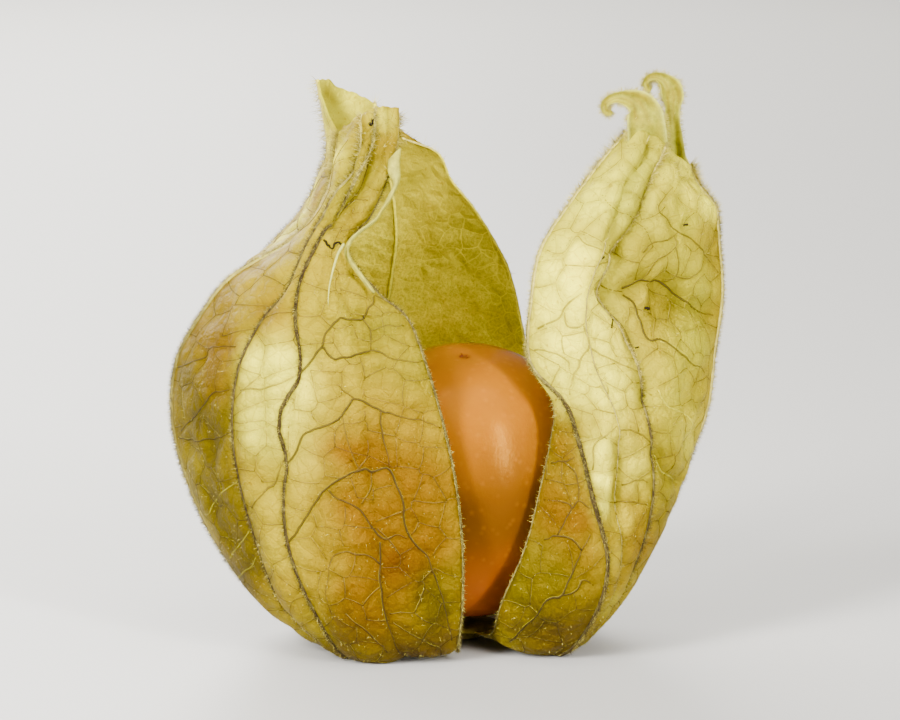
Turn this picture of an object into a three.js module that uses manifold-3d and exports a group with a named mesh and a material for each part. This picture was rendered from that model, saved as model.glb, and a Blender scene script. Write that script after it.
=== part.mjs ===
// A physalis berry (Cape gooseberry) standing in its dry, papery husk, which has been torn
// open from the top down to the stalk. Millimetres, +Z up, -Y towards the viewer.
// The berry is modelled over the point (0, 0), and the whole is then moved so that the origin
// lies on the surface it stands on, under the middle of the husk.
//
// The husk is one grown piece: a disc on the stalk, and two curved sheets that rise from it.
// Each sheet is drawn over its ribs. A rib is a spline through points from the disc, under the
// foot that the husk stands on, up the belly and the neck to the tip. Between two ribs the sheet
// is a panel that bulges across its width, and the rib itself stands proud as a ridge.
import * as THREE from "three";
import { mergeVertices } from "three/addons/utils/BufferGeometryUtils.js";
import Module from "manifold-3d";

// Berry
const BERRY_RADIUS = 7.8;
const BERRY_HALF_HEIGHT = 9.0;
const BERRY_CENTRE = [0, 0, 10.75];
const BERRY_LEAN = THREE.MathUtils.degToRad(14); // its crown leans towards the viewer
const BERRY_FULLNESS = 0.05; // how much fuller than an ellipsoid its shoulders are
const CROWN_DIMPLE = { depth: 0.25, radius: 1.6 };
const BERRY_SIDES = 32;
const BERRY_RINGS = 18;

// Husk
const WALL_OUTSIDE = 0.12; // the ribs' points lie just under the outer face
const WALL_INSIDE = 0.48;
const RIDGE_HEIGHT = 0.22; // how far a rib stands out of the sheet
const RIDGE_HALF_WIDTH = 0.45;
const RIDGE_MOST_SHARE = 0.22; // of a narrow panel's width
const RIDGE_RISE = [0.06, 0.25]; // the ribs rise out of the sheet between these shares of its length
const PANEL_COLUMNS = 2; // grid steps across a panel, between the feet of its two ridges
const ROWS_PER_POINT = 2.5; // grid steps up the sheet for each point of a rib
const FOOT_PRESS = 0.2; // what lies this near the floor is pressed flat on it
const DISC = { radius: 2.3, bottom: 0.75, top: 1.35, sides: 24 };
const STALK = { radius: 1.0, bottom: 0.2, top: 1.0, sides: 16 };

// Ribs and torn edges of the left sheet, front to back round the left side. Each runs from the
// disc to the tip, and panel is the bulge of the panel after it, as a share of that panel's
// width, at even steps from the disc to the tip. Outwards is positive.
const LEFT_SHEET = {
  outward: 1,
  ribs: [
    {
      name: "torn front edge",
      ridge: 0.4,
      panel: [0.1, 0.06, 0.06, 0.06, 0.1, 0.2],
      points: [
        [-0.3, -1.9, 1.0], [-0.6, -4.8, 0.9], [-0.5, -6.6, 1.0], [-0.2, -8.4, 4.1], [-0.2, -9.1, 8.2],
        [-0.6, -9.2, 12.1], [-1.4, -8.8, 15.9], [-2.5, -8.2, 19.7], [-3.7, -7.6, 22.6], [-5.6, -7.2, 24.2],
        [-7.6, -6.4, 27.0], [-6.1, -5.2, 28.9], [-5.1, -4.2, 31.1], [-4.4, -3.4, 33.5], [-4.3, -2.8, 35.3],
      ],
    },
    {
      name: "front vein",
      ridge: 0.3,
      panel: [0.12, 0.14, 0.08, 0.08, 0.06, 0.1],
      points: [
        [-0.9, -1.6, 1.0], [-2.6, -4.8, 0.9], [-4.2, -7.8, 0.9], [-5.0, -9.3, 4.5], [-5.6, -9.5, 8.3],
        [-5.9, -9.4, 12.2], [-6.3, -9.2, 16.0], [-6.6, -8.8, 19.6], [-7.2, -8.4, 22.5], [-8.0, -7.9, 24.6],
        [-8.4, -7.2, 27.0], [-7.4, -6.2, 28.8], [-5.8, -5.2, 31.1], [-5.0, -4.4, 33.6], [-5.0, -3.6, 35.9],
      ],
    },
    {
      name: "front rib",
      ridge: 1,
      panel: [0.1, 0.14, 0.16, 0.14, 0.08, 0.1],
      points: [
        [-1.4, -1.2, 1.0], [-4.2, -3.6, 0.8], [-7.5, -6.2, 0.25], [-9.8, -8.2, 4.0],
        [-11.3, -8.8, 8.1], [-11.6, -8.8, 12.0], [-11.2, -8.6, 15.9], [-10.5, -8.4, 19.7],
        [-10.8, -8.2, 22.7], [-10.5, -7.8, 25.0], [-9.5, -7.2, 27.2], [-8.6, -6.6, 28.8],
        [-7.2, -5.8, 31.0], [-6.0, -5.0, 33.5], [-5.7, -4.2, 36.0],
      ],
    },
    {
      name: "side rib",
      ridge: 1,
      panel: [0.1, 0.1, 0.05, 0.04, 0.04, 0.05],
      points: [
        [-1.7, -0.7, 1.0], [-4.8, -2.4, 0.8], [-8.0, -4.4, 0.25], [-11.7, -5.8, 3.6],
        [-13.3, -6.6, 7.7], [-14.4, -6.8, 11.7], [-14.9, -6.8, 15.6], [-14.4, -6.8, 19.5],
        [-13.0, -7.0, 22.3], [-11.4, -7.0, 24.2], [-10.3, -6.7, 26.8], [-9.3, -6.2, 28.6],
        [-8.1, -5.4, 30.7], [-7.1, -4.6, 33.1], [-6.6, -3.8, 35.2],
      ],
    },
    {
      name: "left rib",
      ridge: 1,
      panel: [0.1, 0.14, 0.16, 0.14, 0.1, 0.05],
      points: [
        [-1.9, 0.0, 1.0], [-5.0, -0.8, 0.8], [-8.4, -2.2, 0.4], [-13.3, -1.8, 3.2],
        [-16.3, -1.0, 6.9], [-18.1, -0.4, 10.7], [-19.1, 0.0, 14.6], [-18.8, -0.4, 18.7],
        [-17.0, -1.6, 22.1], [-15.0, -2.4, 24.6], [-11.4, -3.2, 26.8], [-9.8, -3.4, 28.5],
        [-8.6, -3.2, 30.8], [-8.3, -2.6, 32.6], [-8.2, -1.8, 33.7],
      ],
    },
    {
      name: "back left rib",
      ridge: 1,
      panel: [0.1, 0.14, 0.14, 0.14, 0.12, 0.08],
      points: [
        [-1.7, 0.9, 1.0], [-4.6, 1.6, 0.9], [-6.6, 3.2, 0.8], [-12.1, 5.2, 2.3], [-14.6, 6.8, 5.7],
        [-16.4, 7.6, 9.3], [-17.2, 8.0, 13.4], [-17.0, 7.4, 17.6], [-15.5, 6.4, 21.0], [-14.0, 5.0, 23.9],
        [-12.5, 3.4, 26.1], [-10.7, 2.0, 28.2], [-9.4, 1.0, 30.8], [-8.9, 0.6, 32.9], [-9.6, 0.6, 37.2],
      ],
    },
    {
      name: "back rib",
      ridge: 1,
      panel: [0.1, 0.14, 0.12, 0.1, 0.08, 0.08],
      points: [
        [-0.9, 1.7, 1.0], [-2.6, 4.4, 0.8], [-3.6, 6.8, 0.25], [-5.2, 9.0, 1.5], [-5.9, 10.6, 4.8],
        [-6.2, 11.4, 8.6], [-6.2, 11.4, 12.8], [-5.9, 10.8, 17.0], [-5.3, 9.8, 20.5], [-4.9, 8.6, 23.2],
        [-4.6, 7.2, 25.6], [-4.7, 5.6, 28.2], [-5.1, 4.0, 30.9], [-5.6, 2.8, 33.4], [-5.9, 2.0, 35.4],
      ],
    },
    {
      name: "torn back edge",
      ridge: 0.4,
      points: [
        [0.3, 1.9, 1.0], [1.0, 4.6, 0.8], [1.6, 6.6, 0.7], [1.6, 8.2, 1.8], [2.4, 9.2, 5.1],
        [3.2, 9.6, 9.0], [3.8, 9.4, 13.1], [4.2, 8.8, 16.9], [3.8, 8.4, 19.9], [3.0, 7.6, 23.4],
        [2.0, 6.8, 25.6], [0.6, 5.8, 28.0], [-0.9, 4.8, 30.0], [-1.8, 3.8, 31.9], [-4.0, 2.8, 33.0],
      ],
    },
  ],
};

// The right sheet, front to back round the right side.
const RIGHT_SHEET = {
  outward: -1,
  ribs: [
    {
      name: "torn front edge",
      ridge: 0.3,
      panel: [0.1, 0.16, 0.16, 0.14, 0.0, 0.0],
      points: [
        [0.4, -1.9, 1.0], [1.4, -3.6, 1.1], [1.9, -5.0, 1.8], [2.4, -6.8, 4.0], [3.9, -7.6, 7.8],
        [4.9, -7.5, 11.8], [5.5, -7.1, 14.6], [5.7, -6.5, 16.8], [4.5, -5.2, 19.6], [4.6, -4.4, 23.4],
        [5.2, -3.8, 26.5], [7.0, -2.6, 29.3], [9.0, -1.2, 31.7], [10.8, -0.4, 33.6],
      ],
    },
    {
      name: "front rib",
      ridge: 1,
      panel: [0.1, 0.12, 0.1, 0.1, 0.1, 0.1],
      points: [
        [0.9, -1.6, 1.0], [3.4, -3.6, 0.9], [6.3, -5.2, 0.25], [8.4, -7.4, 3.5], [9.1, -8.6, 7.1],
        [8.1, -8.8, 11.3], [7.3, -8.4, 14.6], [6.4, -7.6, 17.1], [4.2, -6.0, 19.6], [4.3, -5.4, 23.5],
        [4.9, -5.0, 26.7], [6.7, -3.8, 29.4], [8.7, -2.4, 31.9], [10.5, -1.4, 33.9],
      ],
    },
    {
      name: "front midrib",
      ridge: 0.3,
      panel: [0.1, 0.1, 0.05, 0.0, -0.2, -0.1],
      points: [
        [1.3, -1.2, 1.0], [3.9, -2.8, 0.8], [6.6, -4.6, 0.25], [9.1, -6.4, 3.6], [10.0, -7.2, 6.8],
        [9.8, -7.8, 10.6], [10.0, -7.9, 14.2], [9.5, -7.8, 16.7], [8.2, -7.6, 19.8], [7.6, -7.3, 23.8],
        [9.0, -6.4, 26.9], [10.0, -5.2, 29.5], [11.3, -3.6, 31.8], [12.0, -2.4, 33.9],
      ],
    },
    {
      name: "seam rib",
      ridge: 1,
      panel: [0.1, 0.1, 0.08, 0.1, 0.08, 0.05],
      points: [
        [1.6, -0.8, 1.0], [4.2, -2.0, 0.8], [6.8, -3.8, 0.35], [9.5, -4.8, 3.4], [11.1, -5.6, 6.7],
        [12.0, -6.2, 10.3], [12.0, -6.4, 13.9], [11.6, -6.4, 16.4], [11.2, -6.2, 19.6], [8.8, -5.2, 23.7],
        [10.0, -5.2, 27.0], [11.2, -4.4, 29.0], [12.3, -3.0, 31.5], [13.1, -1.8, 33.4],
      ],
    },
    {
      name: "right rib",
      ridge: 1,
      panel: [0.1, 0.14, 0.16, 0.14, 0.1, 0.05],
      points: [
        [1.9, 0.0, 1.0], [4.6, -0.6, 0.8], [7.2, -2.0, 0.5], [10.0, -1.8, 3.3], [11.7, -1.2, 6.4],
        [13.6, -0.8, 9.6], [15.0, -0.4, 13.2], [15.9, 0.0, 15.9], [16.3, 0.4, 19.3], [16.8, 0.8, 22.7],
        [16.6, 0.8, 26.1], [16.2, 0.6, 28.7], [14.6, 0.2, 31.6], [14.0, 0.0, 33.2],
      ],
    },
    {
      name: "back rib",
      ridge: 1,
      panel: [0.1, 0.12, 0.12, 0.1, 0.08, 0.05],
      points: [
        [1.5, 1.1, 1.0], [3.8, 2.8, 0.8], [5.4, 4.2, 0.25], [8.8, 4.6, 2.4], [10.6, 6.0, 5.2],
        [12.3, 6.8, 8.5], [13.7, 7.2, 12.1], [14.5, 7.4, 15.1], [15.1, 7.2, 18.6], [15.5, 6.6, 22.1],
        [15.2, 5.6, 25.4], [14.9, 4.2, 28.3], [14.1, 2.4, 31.3], [13.6, 1.2, 33.5],
      ],
    },
    {
      name: "torn back edge",
      ridge: 0.4,
      points: [
        [0.7, 1.8, 1.0], [2.2, 4.4, 0.9], [3.4, 5.8, 0.7], [4.6, 7.4, 1.8], [5.1, 8.6, 4.7],
        [6.1, 9.2, 8.3], [7.0, 9.2, 11.8], [7.5, 9.0, 14.8], [7.8, 8.6, 18.4], [8.0, 7.8, 21.9],
        [8.4, 6.6, 25.3], [9.4, 5.2, 28.2], [11.0, 3.0, 31.2], [12.1, 1.2, 33.5],
      ],
    },
  ],
};

// The two free tips of the right sheet, which dried into hooks. Width is across the blade, and
// turn is how far the blade has twisted out of the plane that faces the viewer.
const HOOK_THICKNESS = 0.6;
const HOOKS = [
  {
    points: [
      [12.0, -2.0, 31.6], [11.8, -2.0, 33.2], [11.6, -1.9, 34.5], [11.2, -1.8, 35.3], [10.6, -1.7, 35.8],
      [9.9, -1.6, 35.9], [9.3, -1.5, 35.7], [9.0, -1.4, 35.3], [9.2, -1.4, 34.9],
    ],
    widths: [2.8, 2.6, 2.4, 1.9, 1.3, 0.9, 0.7, 0.6, 0.6],
    turns: [0, 0, 0, 10, 40, 70, 80, 85, 85],
  },
  {
    points: [
      [13.4, -0.9, 31.6], [13.5, -0.9, 33.0], [13.5, -0.9, 34.4], [13.5, -0.9, 35.6], [13.4, -1.0, 36.4],
      [13.1, -1.0, 36.9], [12.5, -1.0, 37.1], [11.9, -1.0, 37.0], [11.7, -1.0, 36.6],
    ],
    widths: [1.4, 1.3, 1.3, 1.4, 1.3, 1.0, 0.7, 0.6, 0.6],
    turns: [0, 0, 0, 10, 30, 60, 80, 85, 85],
  },
];
const HOOK_STEPS = 20;
const HOOK_SIDES = 8;

const BERRY_COLOUR = "#e8820a";
const HUSK_COLOUR = "#cdb24a";

const wasm = await Module();
wasm.setup();

const vector = (p) => new THREE.Vector3(...p);
const splineThrough = (points) => new THREE.CatmullRomCurve3(points.map(vector), false, "catmullrom", 0.5);

// Value at share s (0 to 1) of an evenly spaced list.
function along(list, s) {
  const x = s * (list.length - 1);
  const i = Math.min(Math.floor(x), list.length - 2);
  return THREE.MathUtils.lerp(list[i], list[i + 1], x - i);
}

// A closed geometry from a list of points and index triples.
function closedGeometry(points, triangles) {
  const geometry = new THREE.BufferGeometry().setFromPoints(points);
  geometry.setIndex(triangles.flat());
  return geometry;
}

// A manifold-3d solid of a closed geometry, faces out.
function solidOf(geometry) {
  const bare = geometry.clone();
  bare.deleteAttribute("normal");
  bare.deleteAttribute("uv");
  const merged = mergeVertices(bare, 1e-4);
  const vertProperties = merged.attributes.position.array;
  const triVerts = new Uint32Array(merged.index.array);
  const made = new wasm.Manifold(new wasm.Mesh({ numProp: 3, vertProperties, triVerts }));
  if (made.volume() > 0) return made;
  for (let i = 0; i < triVerts.length; i += 3) {
    [triVerts[i + 1], triVerts[i + 2]] = [triVerts[i + 2], triVerts[i + 1]];
  }
  return new wasm.Manifold(new wasm.Mesh({ numProp: 3, vertProperties, triVerts }));
}

function geometryOf(solid) {
  const mesh = solid.getMesh();
  const positions = new Float32Array(mesh.numVert * 3);
  for (let i = 0; i < mesh.numVert; i++) {
    positions.set(mesh.vertProperties.subarray(i * mesh.numProp, i * mesh.numProp + 3), i * 3);
  }
  const geometry = new THREE.BufferGeometry();
  geometry.setAttribute("position", new THREE.BufferAttribute(positions, 3));
  geometry.setIndex(new THREE.BufferAttribute(mesh.triVerts, 1));
  return geometry;
}

// Berry: a turned body, a little fuller than an ellipsoid, with a shallow dimple at its crown.
function berryGeometry() {
  const profile = [];
  for (let i = 0; i <= BERRY_RINGS; i++) {
    const angle = Math.PI * (i / BERRY_RINGS - 0.5);
    const full = 1 + BERRY_FULLNESS * Math.sin(2 * angle) ** 2;
    const radius = i % BERRY_RINGS === 0 ? 0 : BERRY_RADIUS * Math.cos(angle) * full;
    const dimple = angle > 0 ? CROWN_DIMPLE.depth * Math.exp(-((radius / CROWN_DIMPLE.radius) ** 2)) : 0;
    profile.push(new THREE.Vector2(radius, BERRY_HALF_HEIGHT * Math.sin(angle) * full - dimple));
  }
  const geometry = new THREE.LatheGeometry(profile, BERRY_SIDES);
  geometry.rotateX(Math.PI / 2); // the lathe turns about Y
  geometry.rotateX(BERRY_LEAN);
  geometry.translate(...BERRY_CENTRE);
  return geometry;
}

// Middle surface of a sheet: rows of points from the disc to the tips, with the share of the
// full ridge height at each.
function sheetGrid(sheet) {
  const ribs = sheet.ribs.map((rib) => ({ ...rib, curve: splineThrough(rib.points) }));
  const rows = Math.round((ribs[0].points.length - 1) * ROWS_PER_POINT);
  const grid = [];
  for (let i = 0; i <= rows; i++) {
    const v = i / rows;
    const row = [];
    for (let k = 0; k + 1 < ribs.length; k++) {
      const a = ribs[k].curve.getPoint(v);
      const b = ribs[k + 1].curve.getPoint(v);
      const chord = b.clone().sub(a);
      const foot = Math.min(RIDGE_HALF_WIDTH / chord.length(), RIDGE_MOST_SHARE);
      const bulge = along(ribs[k].panel, v) * sheet.outward;
      const shares = [0];
      for (let c = 0; c <= PANEL_COLUMNS; c++) shares.push(foot + ((1 - 2 * foot) * c) / PANEL_COLUMNS);
      if (k + 2 === ribs.length) shares.push(1);
      for (const t of shares) {
        const up = ribs[k].curve.getTangent(v).lerp(ribs[k + 1].curve.getTangent(v), t).normalize();
        const out = up.cross(chord).multiplyScalar(4 * t * (1 - t) * bulge);
        const ridge = t === 0 ? ribs[k].ridge : t === 1 ? ribs[k + 1].ridge : 0;
        row.push({ point: a.clone().lerp(b, t).add(out), ridge });
      }
    }
    grid.push(row);
  }
  return grid;
}

// Outward normal of the grid at row i, column j, from its neighbours.
function gridNormal(grid, i, j, outward) {
  const row = grid[i];
  const across = row[Math.min(j + 1, row.length - 1)].point.clone().sub(row[Math.max(j - 1, 0)].point);
  const up = grid[Math.min(i + 1, grid.length - 1)][j].point.clone().sub(grid[Math.max(i - 1, 0)][j].point);
  return up.cross(across).multiplyScalar(outward).normalize();
}

// The sheet as a closed wall: an outer face with its ridges, an inner face, and the rim between
// them. Both faces are split into triangles alike, and the feet are flat where they stand.
function sheetGeometry(sheet) {
  const grid = sheetGrid(sheet);
  const rows = grid.length;
  const columns = grid[0].length;
  const outer = [];
  const inner = [];
  grid.forEach((row, i) =>
    row.forEach(({ point, ridge }, j) => {
      const normal = gridNormal(grid, i, j, sheet.outward);
      const rise = THREE.MathUtils.smoothstep(i / (rows - 1), ...RIDGE_RISE);
      const out = point.clone().addScaledVector(normal, WALL_OUTSIDE + RIDGE_HEIGHT * ridge * rise);
      const within = point.clone().addScaledVector(normal, -WALL_INSIDE);
      out.z = out.z < FOOT_PRESS ? 0 : out.z;
      within.z = Math.max(within.z, WALL_OUTSIDE + WALL_INSIDE);
      outer.push(out);
      inner.push(within);
    }),
  );
  const triangles = [];
  const quad = (a, b, c, d) => triangles.push([a, b, c], [a, c, d]);
  const under = rows * columns;
  const at = (i, j) => i * columns + j;
  for (let i = 0; i + 1 < rows; i++) {
    for (let j = 0; j + 1 < columns; j++) {
      const [a, b, c, d] = [at(i, j), at(i, j + 1), at(i + 1, j + 1), at(i + 1, j)];
      quad(a, b, c, d);
      triangles.push([c + under, b + under, a + under], [d + under, c + under, a + under]);
    }
  }
  const rim = [
    ...Array.from({ length: columns - 1 }, (_, j) => at(0, j)),
    ...Array.from({ length: rows - 1 }, (_, i) => at(i, columns - 1)),
    ...Array.from({ length: columns - 1 }, (_, j) => at(rows - 1, columns - 1 - j)),
    ...Array.from({ length: rows - 1 }, (_, i) => at(rows - 1 - i, 0)),
  ];
  rim.forEach((a, n) => {
    const b = rim[(n + 1) % rim.length];
    quad(b, a, a + under, b + under);
  });
  return closedGeometry([...outer, ...inner], triangles);
}

// A narrow blade swept along a hooked line, with rounded edges and closed ends.
function hookGeometry(hook) {
  const curve = splineThrough(hook.points);
  const points = [];
  const triangles = [];
  const viewer = new THREE.Vector3(0, -1, 0);
  for (let i = 0; i <= HOOK_STEPS; i++) {
    const s = i / HOOK_STEPS;
    const centre = curve.getPoint(s);
    const forward = curve.getTangent(s);
    const flat = forward.clone().cross(viewer).normalize();
    const wide = flat.applyAxisAngle(forward, THREE.MathUtils.degToRad(along(hook.turns, s)));
    const thick = forward.clone().cross(wide).normalize();
    for (let k = 0; k < HOOK_SIDES; k++) {
      const angle = (2 * Math.PI * k) / HOOK_SIDES;
      points.push(
        centre
          .clone()
          .addScaledVector(wide, (along(hook.widths, s) / 2) * Math.cos(angle))
          .addScaledVector(thick, (HOOK_THICKNESS / 2) * Math.sin(angle)),
      );
    }
  }
  for (let i = 0; i < HOOK_STEPS; i++) {
    for (let k = 0; k < HOOK_SIDES; k++) {
      const next = (k + 1) % HOOK_SIDES;
      const [a, b] = [i * HOOK_SIDES + k, i * HOOK_SIDES + next];
      triangles.push([a, b, b + HOOK_SIDES], [a, b + HOOK_SIDES, a + HOOK_SIDES]);
    }
  }
  const last = HOOK_STEPS * HOOK_SIDES;
  for (let k = 1; k + 1 < HOOK_SIDES; k++) {
    triangles.push([0, k + 1, k], [last, last + k, last + k + 1]);
  }
  return closedGeometry(points, triangles);
}

function uprightCylinder({ radius, bottom, top, sides }) {
  const geometry = new THREE.CylinderGeometry(radius, radius, top - bottom, sides);
  return geometry.rotateX(Math.PI / 2).translate(0, 0, (top + bottom) / 2);
}

function huskGeometry() {
  const pieces = [
    uprightCylinder(DISC),
    uprightCylinder(STALK),
    sheetGeometry(LEFT_SHEET),
    sheetGeometry(RIGHT_SHEET),
    ...HOOKS.map(hookGeometry),
  ];
  return geometryOf(pieces.map(solidOf).reduce((whole, piece) => whole.add(piece)));
}

function part(name, geometry, material) {
  const mesh = new THREE.Mesh(geometry, new THREE.MeshStandardMaterial(material));
  mesh.name = name;
  return mesh;
}

const physalis = new THREE.Group();
physalis.add(part("berry", berryGeometry(), { color: BERRY_COLOUR, roughness: 0.35, metalness: 0 }));
physalis.add(part("husk", huskGeometry(), { color: HUSK_COLOUR, roughness: 0.75, metalness: 0 }));

const extent = new THREE.Box3().setFromObject(physalis);
const middle = extent.getCenter(new THREE.Vector3());
physalis.position.set(-middle.x, -middle.y, -extent.min.z);

export default physalis;
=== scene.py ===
"""A physalis berry in its dry, torn husk: papery sheets with a net of veins, fuzzy ribs and a glossy berry.

The husk is drawn over the same ribs as the solids, in millimetres, with the berry over the point
(0, 0). In Blender the sheets get their real thinness, wrinkles, veins and hairs. Every mesh is
moved and scaled into the frame as it is made.
"""

import heapq
import math
import random

import bpy
import numpy as np
from mathutils import Matrix, Vector, noise
from mathutils.geometry import delaunay_2d_cdt
from mathutils.kdtree import KDTree


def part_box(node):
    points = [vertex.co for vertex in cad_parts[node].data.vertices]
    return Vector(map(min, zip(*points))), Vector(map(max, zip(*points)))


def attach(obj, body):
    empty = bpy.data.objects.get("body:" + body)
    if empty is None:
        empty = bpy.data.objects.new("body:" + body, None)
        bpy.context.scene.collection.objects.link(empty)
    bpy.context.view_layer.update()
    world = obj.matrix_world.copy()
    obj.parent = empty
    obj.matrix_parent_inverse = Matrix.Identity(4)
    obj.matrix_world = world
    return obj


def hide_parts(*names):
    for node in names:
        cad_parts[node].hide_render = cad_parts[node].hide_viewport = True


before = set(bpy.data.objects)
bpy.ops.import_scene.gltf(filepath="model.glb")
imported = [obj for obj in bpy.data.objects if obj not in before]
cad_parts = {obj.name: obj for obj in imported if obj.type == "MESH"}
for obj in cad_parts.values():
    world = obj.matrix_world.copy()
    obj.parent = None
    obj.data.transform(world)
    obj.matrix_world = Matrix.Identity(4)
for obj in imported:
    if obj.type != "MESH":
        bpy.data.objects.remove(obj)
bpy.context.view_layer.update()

MM = 0.001
berry_low, berry_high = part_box("berry")
OVER_BERRY = np.array([(berry_low.x + berry_high.x) / 2, (berry_low.y + berry_high.y) / 2, 0.0])

# Sheets
GRID_STEP = 0.27  # mm between the points of a sheet
SHEET_THICKNESS = 0.08
QUILT_STEPS = ((0.12, 0.42), (0.16, 1.2))  # how far a cell puffs out, and over what distance from a vein
WRINKLES = ((0.45, 9.0), (0.36, 4.0), (0.2, 1.8), (0.09, 0.9))  # height and wavelength of each octave, mm
MOST_RISE = (0.12, 0.16)  # mm over its base above which the sheet levels out, and how much further it gets
RAGGED_ENDS = ((0.30, 0.9), (0.14, 0.35))  # mm, depth and wavelength of the torn ends at the tips
NET_REACH = (0.07, 0.985)  # shares of a sheet's length between which it has a net of veins

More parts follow.
